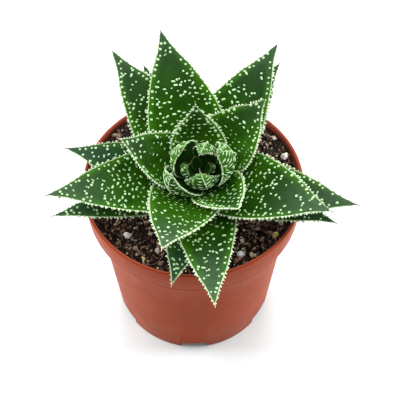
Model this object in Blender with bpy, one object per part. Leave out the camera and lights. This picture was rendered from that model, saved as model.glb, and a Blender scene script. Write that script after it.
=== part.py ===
"""A potted gasteria: a nursery pot, its potting mix, and a rosette of pointed leaves.

Every size is in millimetres until it is written to a mesh or a location. +Z is up, the
pot's foot stands on z = 0, and the camera side of the plant is -Y.

The rosette is a set of nested shells, like the coats of a bulb. Shell 0 is the oldest,
lowest and flattest, and the last one closes over the growing point. Each leaf lies in
a shell of its own, so the leaves overlap without ever cutting one another.
"""
import math

import bmesh
import bpy
import numpy as np

MM = 0.001
SEED = 11
GAP = 0.3

POT_HEIGHT = 105.0
RIM_RADIUS = 60.0
BASE_RADIUS = 45.0
WALL = 2.0
COLLAR_HEIGHT = 18.0
COLLAR_FOOT_RADIUS = 58.4
COLLAR_STEP = 5.0
LIP_ROUND = 0.9
FLOOR_UNDERSIDE = 5.2
FLOOR_THICKNESS = 2.0
POT_SEGMENTS = 48
NOTCH_COUNT = 6
NOTCH_WIDTH = 15.5
NOTCH_HEIGHT = 5.0
DRAIN_RADIUS = 4.5
DRAIN_CIRCLE = 28.0
DRAIN_SIDES = 14

SOIL_LEVEL = 95.3
SOIL_BANK = 7.5
SOIL_BANK_START = 18.0
SOIL_BANK_WIDTH = 30.0
SOIL_BANK_FRONT = -17.0
SOIL_BANK_DEPTH = 43.0
SOIL_RELIEF = 0.7
SOIL_RINGS = (12.0, 19.0, 26.0, 33.0, 40.0, 46.0, 51.0)
SOIL_WAVES = 7
GRAIN_SINK = 0.35
CHIP_COUNT = 18
CHIP_LENGTH = (5.0, 10.0)
CHIP_WIDTH = (2.0, 4.0)
CHIP_THICKNESS = 1.6
CHIP_CLEARANCE = 7.0

# White and cream grains that lie on the potting mix: x and y from the pot's axis, size
GRAINS = (
    (-35, -29, 4.6),
    (-23, -28, 2.6),
    (-19, -38, 3.0),
    (-26, -43, 2.2),
    (25, -41, 4.2),
    (31, -41, 3.4),
    (44, -29, 3.6),
    (26, -32, 3.0),
    (47, -21, 3.0),
    (50, 18.5, 4.6),
    (45, 31, 2.8),
    (-46, 12, 3.2),
    (-30, 37, 3.8),
    (5, 50, 3.4),
    (24, 43, 2.8),
)

ROSETTE_X = 4.5
ROSETTE_Y = -2.0
ROSETTE_HEIGHT = 97.0
ROSETTE_LEAN = 7.0
ROSETTE_SIDE_LEAN = -2.0

STEM_RADIUS = 10.5
STEM_TOP_RADIUS = 1.8
LOWEST_FOOT = 2.0
HIGHEST_FOOT = 25.0
STEM_DEPTH = 24.0
STEM_SIDES = 24
STEM_GAP = 0.6

# The shells at a few places in the order of growth: slope at the foot, slope far out,
# how far from the foot the one starts to turn into the other, and over what length
SHELL_ORDER = (0, 4, 8, 12, 14, 16, 17, 18, 19, 20, 22, 25)
FOOT_SLOPE = (40, 42, 43, 42, 40, 38, 37, 37, 38, 39, 43, 56)
FAR_SLOPE = (5, 8, 11, 16, 28, 42, 52, 104, 144, 148, 152, 156)
BEND_START = (0, 0, 0, 0, 0, 0, 0, 8, 8, 7, 5, 2)
BEND_LENGTH = (26, 30, 34, 38, 42, 42, 42, 21, 20, 19, 16, 13)
SHELL_REACH = 125.0
SHELL_STEP = 0.5

FIRST_TURN = 215.0
TURN = 140.9

# One leaf a line, oldest first: degrees ahead of the even spiral at the foot, degrees
# that the tip turns further, length, half width
LEAVES = (
    (-54, 3, 70, 16),
    (-14, -4, 70, 13),
    (-23, 0, 73, 15),
    (-21, 0, 60, 12),
    (0, -2, 77, 16),
    (-1, 0, 77, 13),
    (4, -1, 82, 18),
    (2, 0, 86, 18),
    (13, 0, 79, 16),
    (18, -2, 84, 19),
    (8, 2, 81, 19),
    (12, -3, 75, 21),
    (-1, 0, 83, 21),
    (0, 4, 59, 20),
    (19, -4, 53, 20),
    (-5, 3, 48, 18),
    (-3, -6, 46, 16),
    (3, 0, 38, 18),
    (-6, -8, 31, 16),
    (-8, 0, 32, 17),
    (-3, 0, 27, 16),
    (-11, -12, 24, 12),
    (-11, 0, 28, 9),
    (-12, 0, 18, 8),
    (-13, 0, 14, 6),
    (-16, 0, 11, 4),
)

BLUNT_ORDER = (17, 18, 20, 21, 22)
BLUNT_TAPER = (1.0, 0.8, 0.62, 0.7, 1.0)
TAPER_START = 1.923
TAPER_BEND = 0.5
WIDEST = 1.15
CLASP_ANGLE = 60.0
CLASP_LENGTH = 15.0
YOUNG_SLIP = 0.4
FOOT_BLEND = 6.0
SPINE_LENGTH = 3.0
SPINE_HALF_WIDTH = 0.45
MIDDLE_THICKNESS = 3.8
MARGIN_THICKNESS = 0.7
KEEL_PLACE = 0.14
KEEL_RISE = 0.35
CROWDING = 0.8

TOOTH_HEIGHT = 0.9
TOOTH_HALF_BASE = 0.8
TOOTH_SPACING = 5.4
YOUNG_TOOTH_SPACING = 3.8
YOUNG_MARGIN_STEP = 3.0
TOOTH_START = 9.0
TOOTH_LEAN = 0.4

SPOT_RADIUS = 0.9
SPOT_RISE = 0.4
SPOT_START = 12.0
SPOT_CHANCE = 0.33

YOUNG_LEAF = 16
KEELED_LEAF = 18
LEAF_ROWS = 11
OUTER_COLUMNS = (-0.52, 0.0, 0.52)
INNER_COLUMNS = (-0.66, -0.33, 0.0, 0.33, 0.66)


def clear_scene():
    """Remove everything that the file opened with."""
    for thing in list(bpy.data.objects):
        bpy.data.objects.remove(thing)


def make_material(name, colour, roughness):
    """A plain Principled material with no metal in it."""
    material = bpy.data.materials.new(name)
    material.use_nodes = True
    shader = material.node_tree.nodes["Principled BSDF"]
    shader.inputs["Base Color"].default_value = (*colour, 1.0)
    shader.inputs["Roughness"].default_value = roughness
    shader.inputs["Metallic"].default_value = 0.0
    return material


def make_empty(name, location, rotation, parent):
    """An empty that pieces hang from, placed in millimetres and degrees."""
    empty = bpy.data.objects.new(name, None)
    bpy.context.collection.objects.link(empty)
    empty.location = [value * MM for value in location]
    empty.rotation_euler = [math.radians(value) for value in rotation]
    empty.parent = parent
    return empty


def make_object(name, points, faces, parent, material=None):
    """A closed mesh object from points in millimetres, its faces turned outward."""
    mesh = bpy.data.meshes.new(name)
    mesh.from_pydata([tuple(float(value) * MM for value in point) for point in points], [], faces)
    body = bmesh.new()
    body.from_mesh(mesh)
    bmesh.ops.recalc_face_normals(body, faces=body.faces)
    body.to_mesh(mesh)
    body.free()
    mesh.shade_smooth()
    mesh.set_sharp_from_angle(angle=math.radians(35))
    if material:
        mesh.materials.append(material)
    thing = bpy.data.objects.new(name, mesh)
    bpy.context.collection.objects.link(thing)
    thing.parent = parent
    return thing


def turned_solid(profile, segments):
    """Points and faces of a profile turned about Z, from one end on the axis to the other."""
    points = [(0.0, 0.0, profile[0][1])]
    for radius, height in profile[1:-1]:
        for step in range(segments):
            angle = 2.0 * math.pi * step / segments
            points.append((radius * math.cos(angle), radius * math.sin(angle), height))
    points.append((0.0, 0.0, profile[-1][1]))
    rings = len(profile) - 2
    last = len(points) - 1
    faces = []
    for step in range(segments):
        following = (step + 1) % segments
        faces.append((0, 1 + following, 1 + step))
        for ring in range(rings - 1):
            low = 1 + ring * segments
            high = low + segments
            faces.append((low + step, low + following, high + following, high + step))
        top = 1 + (rings - 1) * segments
        faces.append((top + step, top + following, last))
    return points, faces


def cut(body, cutter, operation="DIFFERENCE"):
    """Cut a body with another object, or join the two, and keep that object as a guide."""
    cutter.hide_render = True
    cutter.display_type = "WIRE"
    modifier = body.modifiers.new(cutter.name, "BOOLEAN")
    modifier.operation = operation
    modifier.object = cutter


def joined(solids):
    """Points and faces of several separate solids as one list of each."""
    points = []
    faces = []
    for solid_points, solid_faces in solids:
        start = len(points)
        points.extend(solid_points)
        faces.extend(tuple(start + corner for corner in face) for face in solid_faces)
    return points, faces


def spun(points, angle):
    """Points turned about Z by an angle in radians."""
    c = math.cos(angle)
    s = math.sin(angle)
    return [(c * x - s * y, s * x + c * y, z) for x, y, z in points]


def box(centre, size):
    """Points and faces of a box given by its centre and its full size."""
    corners = [(x, y, z) for x in (-0.5, 0.5) for y in (-0.5, 0.5) for z in (-0.5, 0.5)]
    points = [tuple(c + k * s for c, k, s in zip(centre, corner, size)) for corner in corners]
    faces = [(0, 1, 3, 2), (4, 6, 7, 5), (0, 4, 5, 1), (2, 3, 7, 6), (0, 2, 6, 4), (1, 5, 7, 3)]
    return points, faces


def cylinder(radius, low, high, sides):
    """Points and faces of a cylinder on the Z axis."""
    return turned_solid([(0, low), (radius, low), (radius, high), (0, high)], sides)


def wall_radius(height):
    """Outer radius of the pot's tapered wall below the collar."""
    share = height / (POT_HEIGHT - COLLAR_HEIGHT)
    return BASE_RADIUS + (COLLAR_FOOT_RADIUS - COLLAR_STEP - BASE_RADIUS) * share


def collar_radius(height):
    """Outer radius of the collar, which widens a little towards the rim."""
    share = (height - POT_HEIGHT + COLLAR_HEIGHT) / COLLAR_HEIGHT
    return COLLAR_FOOT_RADIUS + (RIM_RADIUS - COLLAR_FOOT_RADIUS) * share


def pot_profile():
    """The pot's section, from the floor's underside round the rim to the floor's top."""
    collar_foot = POT_HEIGHT - COLLAR_HEIGHT
    floor_top = FLOOR_UNDERSIDE + FLOOR_THICKNESS
    inner_step = collar_foot - WALL
    lip = POT_HEIGHT - LIP_ROUND
    return [
        (0.0, FLOOR_UNDERSIDE),
        (wall_radius(FLOOR_UNDERSIDE) - WALL, FLOOR_UNDERSIDE),
        (BASE_RADIUS - WALL, 0.0),
        (BASE_RADIUS - 0.5, 0.0),
        (BASE_RADIUS, 0.5),
        (wall_radius(collar_foot - 1.0), collar_foot - 1.0),
        (COLLAR_FOOT_RADIUS - 0.5, collar_foot),
        (COLLAR_FOOT_RADIUS, collar_foot + 0.6),
        (collar_radius(lip), lip),
        (RIM_RADIUS - 0.3 * LIP_ROUND, POT_HEIGHT - 0.3 * LIP_ROUND),
        (RIM_RADIUS - LIP_ROUND, POT_HEIGHT),
        (RIM_RADIUS - 1.7 * LIP_ROUND, POT_HEIGHT - 0.3 * LIP_ROUND),
        (RIM_RADIUS - 2.2 * LIP_ROUND, lip),
        (collar_radius(inner_step + 3.5) - WALL, inner_step + 3.5),
        (wall_radius(inner_step) - WALL, inner_step),
        (wall_radius(floor_top) - WALL, floor_top),
        (0.0, floor_top),
    ]


def make_pot(parent):
    """The plastic pot, with six notches in its foot ring and holes in its floor."""
    plastic = make_material("pot_plastic", (0.42, 0.085, 0.045), 0.42)
    points, faces = turned_solid(pot_profile(), POT_SEGMENTS)
    pot = make_object("pot", points, faces, parent, plastic)
    notches = []
    drains = [cylinder(DRAIN_RADIUS, 0.0, 12.0, DRAIN_SIDES)]
    for step in range(NOTCH_COUNT):
        angle = 2.0 * math.pi * (step + 0.5) / NOTCH_COUNT
        points, faces = box((BASE_RADIUS, 0.0, 0.0), (16.0, NOTCH_WIDTH, 2.0 * NOTCH_HEIGHT))
        notches.append((spun(points, angle), faces))
        points, faces = cylinder(DRAIN_RADIUS, 0.0, 12.0, DRAIN_SIDES)
        points = [(x + DRAIN_CIRCLE, y, z) for x, y, z in points]
        drains.append((spun(points, angle), faces))
    for name, solids in (("notch_cutter", notches), ("drain_cutter", drains)):
        points, faces = joined(solids)
        cut(pot, make_object(name, points, faces, parent))


def soil_height(x, y, waves):
    """Height of the potting mix at a point: level, banked up at the back, with long waves."""
    total = sum(math.sin(a * x + b * y + phase) for a, b, phase in waves)
    outward = float(smooth((math.hypot(x, y) - SOIL_BANK_START) / SOIL_BANK_WIDTH))
    backward = float(smooth((y - SOIL_BANK_FRONT) / SOIL_BANK_DEPTH))
    return SOIL_LEVEL + SOIL_BANK * outward * backward + SOIL_RELIEF * total / math.sqrt(len(waves))


def soil_profile():
    """Side of the potting mix, just inside the pot, from its top edge down."""
    step = POT_HEIGHT - COLLAR_HEIGHT - WALL
    floor = FLOOR_UNDERSIDE + FLOOR_THICKNESS + GAP
    return [
        (collar_radius(SOIL_LEVEL) - WALL - GAP - 0.2, SOIL_LEVEL),
        (collar_radius(step + 3.5) - WALL - GAP - 0.2, step + 3.8),
        (wall_radius(step) - WALL - GAP - 0.2, step + 0.3),
        (wall_radius(floor) - WALL - GAP - 0.2, floor),
    ]


def soil_body(waves):
    """Points and faces of the potting mix, with its uneven top."""
    side = soil_profile()
    radii = SOIL_RINGS + (side[0][0],)
    points = [(0.0, 0.0, SOIL_LEVEL)]
    for radius in radii:
        for step in range(POT_SEGMENTS):
            angle = 2.0 * math.pi * step / POT_SEGMENTS
            x = radius * math.cos(angle)
            y = radius * math.sin(angle)
            points.append((x, y, soil_height(x, y, waves)))
    for radius, height in side[1:]:
        for step in range(POT_SEGMENTS):
            angle = 2.0 * math.pi * step / POT_SEGMENTS
            points.append((radius * math.cos(angle), radius * math.sin(angle), height))
    points.append((0.0, 0.0, side[-1][1]))
    rings = len(radii) + len(side) - 1
    last = len(points) - 1
    faces = []
    for step in range(POT_SEGMENTS):
        following = (step + 1) % POT_SEGMENTS
        faces.append((0, 1 + step, 1 + following))
        for ring in range(rings - 1):
            inner = 1 + ring * POT_SEGMENTS
            outer = inner + POT_SEGMENTS
            faces.append((inner + step, outer + step, outer + following))
            faces.append((inner + step, outer + following, inner + following))
        edge = 1 + (rings - 1) * POT_SEGMENTS
        faces.append((edge + step, last, edge + following))
    return points, faces


def crumb(size, centre, turns, stretch, chance):
    """A rough lump: a twenty-sided ball, stretched, turned and knocked out of true."""
    lump = bmesh.new()
    bmesh.ops.create_icosphere(lump, subdivisions=1, radius=0.5)
    points = np.array([vertex.co[:] for vertex in lump.verts])
    faces = [tuple(vertex.index for vertex in face.verts) for face in lump.faces]
    lump.free()
    points = points * (1.0 + chance.uniform(-0.16, 0.16, (len(points), 1)))
    points = points * np.array(stretch) * size
    tip, turn = turns
    around_x = np.array([[1, 0, 0], [0, math.cos(tip), -math.sin(tip)], [0, math.sin(tip), math.cos(tip)]])
    around_z = np.array([[math.cos(turn), -math.sin(turn), 0], [math.sin(turn), math.cos(turn), 0], [0, 0, 1]])
    return points @ around_x.T @ around_z.T + np.array(centre), faces


def chip_places(chance):
    """Places for bark chips, clear of the stem, the wall, the grains and each other."""
    taken = [(x, y) for x, y, size in GRAINS]
    places = []
    while len(places) < CHIP_COUNT:
        angle = chance.uniform(0.0, 2.0 * math.pi)
        radius = math.sqrt(chance.uniform(20.0 ** 2, 50.0 ** 2))
        x = radius * math.cos(angle)
        y = radius * math.sin(angle)
        if all(math.hypot(x - a, y - b) > CHIP_CLEARANCE for a, b in taken):
            taken.append((x, y))
            places.append((x, y))
    return places


def soil_lumps(waves, chance):
    """Points and faces of the grains and bark chips, half sunk in the potting mix."""
    lumps = []
    for x, y, size in GRAINS:
        centre = (x, y, soil_height(x, y, waves) + (0.5 - GRAIN_SINK) * size)
        turns = (chance.uniform(0.0, 3.0), chance.uniform(0.0, 6.0))
        lumps.append(crumb(size, centre, turns, (1.0, 0.95, 0.9), chance))
    for x, y in chip_places(chance):
        length = chance.uniform(*CHIP_LENGTH)
        centre = (x, y, soil_height(x, y, waves) + 0.2)
        turns = (chance.uniform(-0.25, 0.25), chance.uniform(0.0, 6.0))
        stretch = (1.0, chance.uniform(*CHIP_WIDTH) / length, CHIP_THICKNESS / length)
        lumps.append(crumb(length, centre, turns, stretch, chance))
    return joined(lumps)


def make_soil(parent, rosette):
    """The potting mix, with grains and chips grown into it and a hole for the stem."""
    chance = np.random.default_rng(SEED)
    waves = [
        (chance.uniform(-0.22, 0.22), chance.uniform(-0.22, 0.22), chance.uniform(0.0, 6.28))
        for _ in range(SOIL_WAVES)
    ]
    mix = make_material("potting_mix", (0.035, 0.022, 0.015), 0.9)
    points, faces = soil_body(waves)
    soil = make_object("soil", points, faces, parent, mix)
    points, faces = soil_lumps(waves, chance)
    cut(soil, make_object("soil_lumps", points, faces, parent), "UNION")
    points, faces = cylinder(STEM_RADIUS, -STEM_DEPTH - 1.0, 12.0, 24)
    cut(soil, make_object("stem_hole_cutter", points, faces, rosette))


def foot_radius(height):
    """Radius at which the leaves leave the stem at a height up the rosette."""
    share = (height - LOWEST_FOOT) / (HIGHEST_FOOT - LOWEST_FOOT)
    return STEM_RADIUS + (STEM_TOP_RADIUS - STEM_RADIUS) * share


def make_stem(parent, skin):
    """The short stem that carries the leaves, rooted in its hole in the potting mix."""
    below = STEM_RADIUS - GAP
    top = HIGHEST_FOOT - 0.6
    profile = [
        (0.0, -STEM_DEPTH),
        (0.6 * below, 1.5 - STEM_DEPTH),
        (below, 6.0 - STEM_DEPTH),
        (below, 0.0),
        (foot_radius(LOWEST_FOOT) - STEM_GAP, LOWEST_FOOT),
        (foot_radius(top) - STEM_GAP, top),
        (0.5 * (foot_radius(top) - STEM_GAP), top + 0.6),
        (0.0, top + 0.8),
    ]
    points, faces = turned_solid(profile, STEM_SIDES)
    make_object("stem", points, faces, parent, skin)


def smooth(share):
    """Ease from 0 to 1 with a level start and end."""
    share = np.clip(share, 0.0, 1.0)
    return share * share * (3.0 - 2.0 * share)


class Shell:
    """Side profile of one shell of the rosette, from the leaf's foot outward."""

    def __init__(self, order):
        self.along = np.arange(0.0, SHELL_REACH, SHELL_STEP)
        foot = np.interp(order, SHELL_ORDER, FOOT_SLOPE)
        far = np.interp(order, SHELL_ORDER, FAR_SLOPE)
        start = np.interp(order, SHELL_ORDER, BEND_START)
        bend = np.interp(order, SHELL_ORDER, BEND_LENGTH)
        self.slope = np.radians(foot + (far - foot) * smooth((self.along - start) / bend))
        middle = 0.5 * (self.slope[1:] + self.slope[:-1])
        share = order / (len(LEAVES) - 1)
        height = LOWEST_FOOT + (HIGHEST_FOOT - LOWEST_FOOT) * share
        self.radius = foot_radius(height) + self.run(np.cos(middle))
        self.height = height + self.run(np.sin(middle))

    def run(self, direction):
        """Distance covered at each step of a line, from the line's direction."""
        return np.concatenate([[0.0], np.cumsum(direction * SHELL_STEP)])

    def at(self, along):
        """Radius, height and slope at a distance along the shell."""
        radius = np.interp(along, self.along, self.radius)
        height = np.interp(along, self.along, self.height)
        slope = np.interp(along, self.along, self.slope)
        return radius, height, slope

    def room_over(self, other):
        """Distance from each step of this shell down to the shell below it."""
        across = self.radius[:, None] - other.radius[None, :]
        up = self.height[:, None] - other.height[None, :]
        return np.hypot(across, up).min(axis=1)


class Leaf:
    """One leaf laid on its shell, with its middle line over +X."""

    def __init__(self, order):
        self.order = order
        ahead, self.sweep, self.length, self.width = LEAVES[order]
        self.azimuth = FIRST_TURN + TURN * order + ahead
        self.blade = self.length - SPINE_LENGTH
        self.taper = np.interp(order, BLUNT_ORDER, BLUNT_TAPER)
        self.slip = YOUNG_SLIP if order >= KEELED_LEAF else 1.0
        self.shell = Shell(order)
        upper = max(order, 1)
        self.room = Shell(upper).room_over(Shell(upper - 1))

    def half_width(self, along):
        """Half width of the blade: near its full width at the foot, straight to the tip."""
        left = max(0.0, 1.0 - along / self.blade) ** self.taper
        share = left * (TAPER_START - TAPER_BEND * left)
        share = share / (1.0 + (share / WIDEST) ** 6) ** (1.0 / 6.0)
        return self.width * share + SPINE_HALF_WIDTH

    def depth(self, along, across):
        """Thickness below the upper face: full in the middle, thin at the margins."""
        radius = self.shell.at(along)[0]
        shells_between = np.interp(radius, (25.0, 35.0, 50.0), (1.6, 3.0, 5.0))
        room = np.interp(along, self.shell.along, self.room) * shells_between * CROWDING
        middle = min(MIDDLE_THICKNESS, room, 0.7 + 0.5 * self.half_width(along))
        edge = min(MARGIN_THICKNESS, 0.7 * middle)
        return edge + (middle - edge) * (1.0 - min(1.0, abs(across)) ** 1.7)

    def point(self, along, across, depth):
        """A point of the leaf: distance along it, share of its half width, depth."""
        radius, height, slope = self.shell.at(along)
        lean = math.cos(slope)
        if abs(lean) < 0.03:
            lean = math.copysign(0.03, lean)
        cone = radius / lean
        half_width = self.half_width(along)
        spread = math.atan(half_width / abs(cone)) / abs(lean)
        clasp = math.radians(CLASP_ANGLE)
        spread = (spread ** -4 + clasp ** -4) ** -0.25
        offset = across * half_width
        slip = self.slip * math.copysign(math.hypot(cone, offset) - abs(cone), lean)
        radius, height, slope = self.shell.at(along + slip * smooth(along / CLASP_LENGTH))
        free = smooth(along / FOOT_BLEND)
        stem_side = (STEM_RADIUS - STEM_TOP_RADIUS) / (HIGHEST_FOOT - LOWEST_FOOT)
        outward = free * math.sin(slope) + (1.0 - free) * stem_side
        downward = free * math.cos(slope) + (1.0 - free)
        radius = radius + depth * outward
        height = height - depth * downward
        angle = across * spread + math.radians(self.sweep) * (along / self.length) ** 2
        return radius * math.cos(angle), radius * math.sin(angle), height


def zip_lines(first, second):
    """Triangles between two lines of (distance, point number) that start and end level."""
    faces = []
    i = 0
    j = 0
    while i < len(first) - 1 or j < len(second) - 1:
        first_next = i < len(first) - 1
        if first_next and j < len(second) - 1:
            first_next = first[i + 1][0] <= second[j + 1][0]
        if first_next:
            faces.append((first[i][1], first[i + 1][1], second[j][1]))
            i += 1
        else:
            faces.append((first[i][1], second[j + 1][1], second[j][1]))
            j += 1
    return faces


def tooth_places(leaf):
    """Distances along the leaf at which the margin bears a tooth."""
    start = min(TOOTH_START, 0.3 * leaf.blade)
    spacing = YOUNG_TOOTH_SPACING if leaf.order >= KEELED_LEAF else TOOTH_SPACING
    count = max(2, round((leaf.blade - start) / spacing))
    step = (leaf.blade - start) / count
    return [start + step * (number + 0.5) for number in range(count)]


def leaf_solid(leaf):
    """Points and faces of a leaf: two skins of lines from foot to tip, and toothed sides."""
    points = []
    faces = []

    def add(along, across, depth):
        points.append(leaf.point(along, across, depth))
        return len(points) - 1

    columns = INNER_COLUMNS if leaf.order >= YOUNG_LEAF else OUTER_COLUMNS
    rows = [leaf.blade * (row / LEAF_ROWS) ** 1.15 for row in range(LEAF_ROWS + 1)]
    teeth = tooth_places(leaf)
    margin_rows = [0.0]
    bearing = {}
    for place in teeth:
        gap = place - TOOTH_HALF_BASE - margin_rows[-1]
        parts = 1 + int(gap / YOUNG_MARGIN_STEP) if leaf.order >= KEELED_LEAF else 1
        margin_rows += [margin_rows[-1] + gap * part / parts for part in range(1, parts + 1)]
        bearing[len(margin_rows) - 1] = place
        margin_rows.append(place + TOOTH_HALF_BASE)
    margin_rows.append(leaf.blade)
    if leaf.order >= KEELED_LEAF:
        rows = margin_rows

    upper = []
    lower = []
    for across in (-1.0,) + columns + (1.0,):
        lines = margin_rows if abs(across) == 1.0 else rows
        upper.append([(along, add(along, across, 0.0)) for along in lines])
        if across == 0.0:
            keel = [(along, add(along, keel_place(along), leaf.depth(along, 0.0) + keel_rise(leaf, along)))
                    for along in rows]
            lower.append(with_keel_teeth(leaf, keel, add))
        else:
            lower.append([(along, add(along, across, leaf.depth(along, across))) for along in lines])
    chance = np.random.default_rng(SEED + leaf.order)
    for skin, side in ((upper, 1.0), (lower, -1.0)):
        for first, second in zip(skin, skin[1:]):
            for face in zip_lines(first, second):
                faces += with_spot(points, face, side, leaf, chance)
    for side, line in ((-1.0, 0), (1.0, -1)):
        above = [point for along, point in upper[line]]
        below = [point for along, point in lower[line]]
        for step in range(len(above) - 1):
            if step in bearing:
                place = bearing[step] + TOOTH_LEAN
                out = side * (1.0 + TOOTH_HEIGHT / leaf.half_width(place))
                peak = add(place, out, 0.5 * leaf.depth(place, 1.0))
                faces.append((above[step], above[step + 1], peak))
                faces.append((below[step], below[step + 1], peak))
                faces.append((above[step], below[step], peak))
                faces.append((above[step + 1], below[step + 1], peak))
            else:
                faces.append((above[step], above[step + 1], below[step + 1]))
                faces.append((above[step], below[step + 1], below[step]))
    tip = add(leaf.length, 0.0, 0.5 * MARGIN_THICKNESS)
    foot_ring = [line[0][1] for line in upper] + [line[0][1] for line in reversed(lower)]
    end_ring = [line[-1][1] for line in upper] + [line[-1][1] for line in reversed(lower)]
    for step, point in enumerate(end_ring):
        faces.append((point, end_ring[(step + 1) % len(end_ring)], tip))
    for step in range(len(upper) - 1):
        opposite = len(foot_ring) - 1 - step
        faces.append((foot_ring[step], foot_ring[step + 1], foot_ring[opposite - 1]))
        faces.append((foot_ring[step], foot_ring[opposite - 1], foot_ring[opposite]))
    return points, faces


def with_spot(points, face, side, leaf, chance):
    """A triangle of a skin, or the triangles that raise one pale spot from its middle."""
    corners = np.array([points[corner] for corner in face])
    sides = np.linalg.norm(np.roll(corners, -1, 0) - np.roll(corners, 1, 0), axis=1)
    normal = np.cross(corners[1] - corners[0], corners[2] - corners[0])
    clearance = np.linalg.norm(normal) / sides.sum()
    bare = side < 0.0 and leaf.order < KEELED_LEAF
    if bare or clearance < 1.25 * SPOT_RADIUS or chance.uniform() > SPOT_CHANCE:
        return [face]
    centre = sides @ corners / sides.sum()
    if np.hypot(centre[0], centre[1]) < SPOT_START:
        return [face]
    reach = corners - centre
    ring = centre + SPOT_RADIUS * reach / np.linalg.norm(reach, axis=1)[:, None]
    peak = centre + side * SPOT_RISE * normal / np.linalg.norm(normal)
    first = len(points)
    points += [tuple(point) for point in ring] + [tuple(peak)]
    raised = []
    for corner in range(3):
        following = (corner + 1) % 3
        raised.append((face[corner], face[following], first + following))
        raised.append((face[corner], first + following, first + corner))
        raised.append((first + corner, first + following, first + 3))
    return raised


def keel_place(along):
    """Where the keel runs across the underside: off the middle, except at the foot."""
    return KEEL_PLACE * float(smooth(along / CLASP_LENGTH))


def keel_rise(leaf, along):
    """How far the keel stands out of the underside, fading in from the foot."""
    return KEEL_RISE * float(smooth((along - 6.0) / 12.0)) * min(1.0, leaf.half_width(along) / 4.0)


def with_keel_teeth(leaf, keel, add):
    """Add teeth to the keel of a young leaf, whose back shows in the closed heart."""
    if leaf.order < KEELED_LEAF:
        return keel
    line = list(keel)
    for place in tooth_places(leaf)[1:-1]:
        for along, rise in ((place - 0.6, 0.0), (place, 0.7), (place + 0.6, 0.0)):
            depth = leaf.depth(along, 0.0) + keel_rise(leaf, along) + rise
            line.append((along, add(along, keel_place(along), depth)))
    return sorted(line)


def make_leaves(parent, skin):
    """All leaves, oldest first, each turned about the rosette's axis to its place."""
    for order in range(len(LEAVES)):
        leaf = Leaf(order)
        points, faces = leaf_solid(leaf)
        thing = make_object("leaf_%02d" % (order + 1), points, faces, parent, skin)
        thing.rotation_euler.z = math.radians(leaf.azimuth % 360.0)


def centre_footprint(root):
    """Move the whole part so that the middle of its bounding box is over the origin."""
    bpy.context.view_layer.update()
    corners = []
    for thing in bpy.data.objects:
        if thing.type == "MESH" and not thing.hide_render:
            corners += [thing.matrix_world @ vertex.co for vertex in thing.data.vertices]
    for axis in (0, 1):
        values = [corner[axis] for corner in corners]
        root.location[axis] = -0.5 * (min(values) + max(values))


def main():
    clear_scene()
    root = make_empty("part_origin", (0, 0, 0), (0, 0, 0), None)
    place = (ROSETTE_X, ROSETTE_Y, ROSETTE_HEIGHT)
    rosette = make_empty("rosette_axis", place, (ROSETTE_LEAN, ROSETTE_SIDE_LEAN, 0), root)
    skin = make_material("leaf_skin", (0.045, 0.13, 0.035), 0.45)
    make_pot(root)
    make_soil(root, rosette)
    make_stem(rosette, skin)
    make_leaves(rosette, skin)
    centre_footprint(root)


main()
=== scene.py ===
import math

import bmesh
import bpy
import numpy as np
from mathutils import Euler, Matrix, Vector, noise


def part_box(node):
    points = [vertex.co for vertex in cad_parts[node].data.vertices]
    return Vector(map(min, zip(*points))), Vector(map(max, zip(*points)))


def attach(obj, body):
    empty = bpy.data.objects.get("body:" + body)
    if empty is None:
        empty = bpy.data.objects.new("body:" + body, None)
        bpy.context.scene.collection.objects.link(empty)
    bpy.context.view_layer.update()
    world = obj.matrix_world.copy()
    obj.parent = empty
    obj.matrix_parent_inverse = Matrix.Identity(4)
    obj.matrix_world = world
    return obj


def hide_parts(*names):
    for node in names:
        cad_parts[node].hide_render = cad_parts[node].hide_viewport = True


# The finished look of a potted gasteria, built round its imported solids. Sizes are in
# millimetres until they are written to a mesh. The leaves follow the same rule as the
# solids: each lies in a shell of its own. The pieces here give them a finer skin, white
# toothed margins and pale raised spots.
MM = 0.001
SEED = 11

# The pot
POT_HEIGHT = 105.0
RIM_RADIUS = 60.0
BASE_RADIUS = 45.0
WALL = 2.0
COLLAR_HEIGHT = 18.0
COLLAR_FOOT_RADIUS = 58.4
COLLAR_STEP = 5.0
LIP_ROUND = 0.9
LIP_HALF_WIDTH = 1.1 * LIP_ROUND
LIP_STEPS = 8
FLOOR_UNDERSIDE = 5.2
FLOOR_THICKNESS = 2.0
NOTCH_COUNT = 6
NOTCH_WIDTH = 15.5
NOTCH_HEIGHT = 5.0
NOTCH_DEPTH = 16.0
DRAIN_RADIUS = 4.5
DRAIN_CIRCLE = 28.0
DRAIN_CUT = 12.0
POT_SEGMENTS = 192
DRAIN_SEGMENTS = 32
POT_SHARP_ANGLE = 40.0
# Heights of rings in the pot's section, and of the slope inside its step
WALL_RINGS = (30.0, 60.0)
UNDER_STEP = 1.6
COLLAR_RING = POT_HEIGHT - 6.0
INNER_STEP_RISE = 3.5
# Small steps in the pot's section, as pairs: out or in by, and up or down by
BASE_ROUND = ((WALL, 0.0), (0.5, 0.0), (0.15, 0.15), (0.0, 0.5))
STEP_ROUND = ((0.25, 0.5), (1.0, 0.12))
COLLAR_FOOT_ROUND = ((0.7, 0.0), (0.2, 0.2), (0.0, 0.7))
COLLAR_LINE = ((0.0, 1.9), (0.07, 2.2), (0.07, 2.5), (0.0, 2.8))

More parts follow.
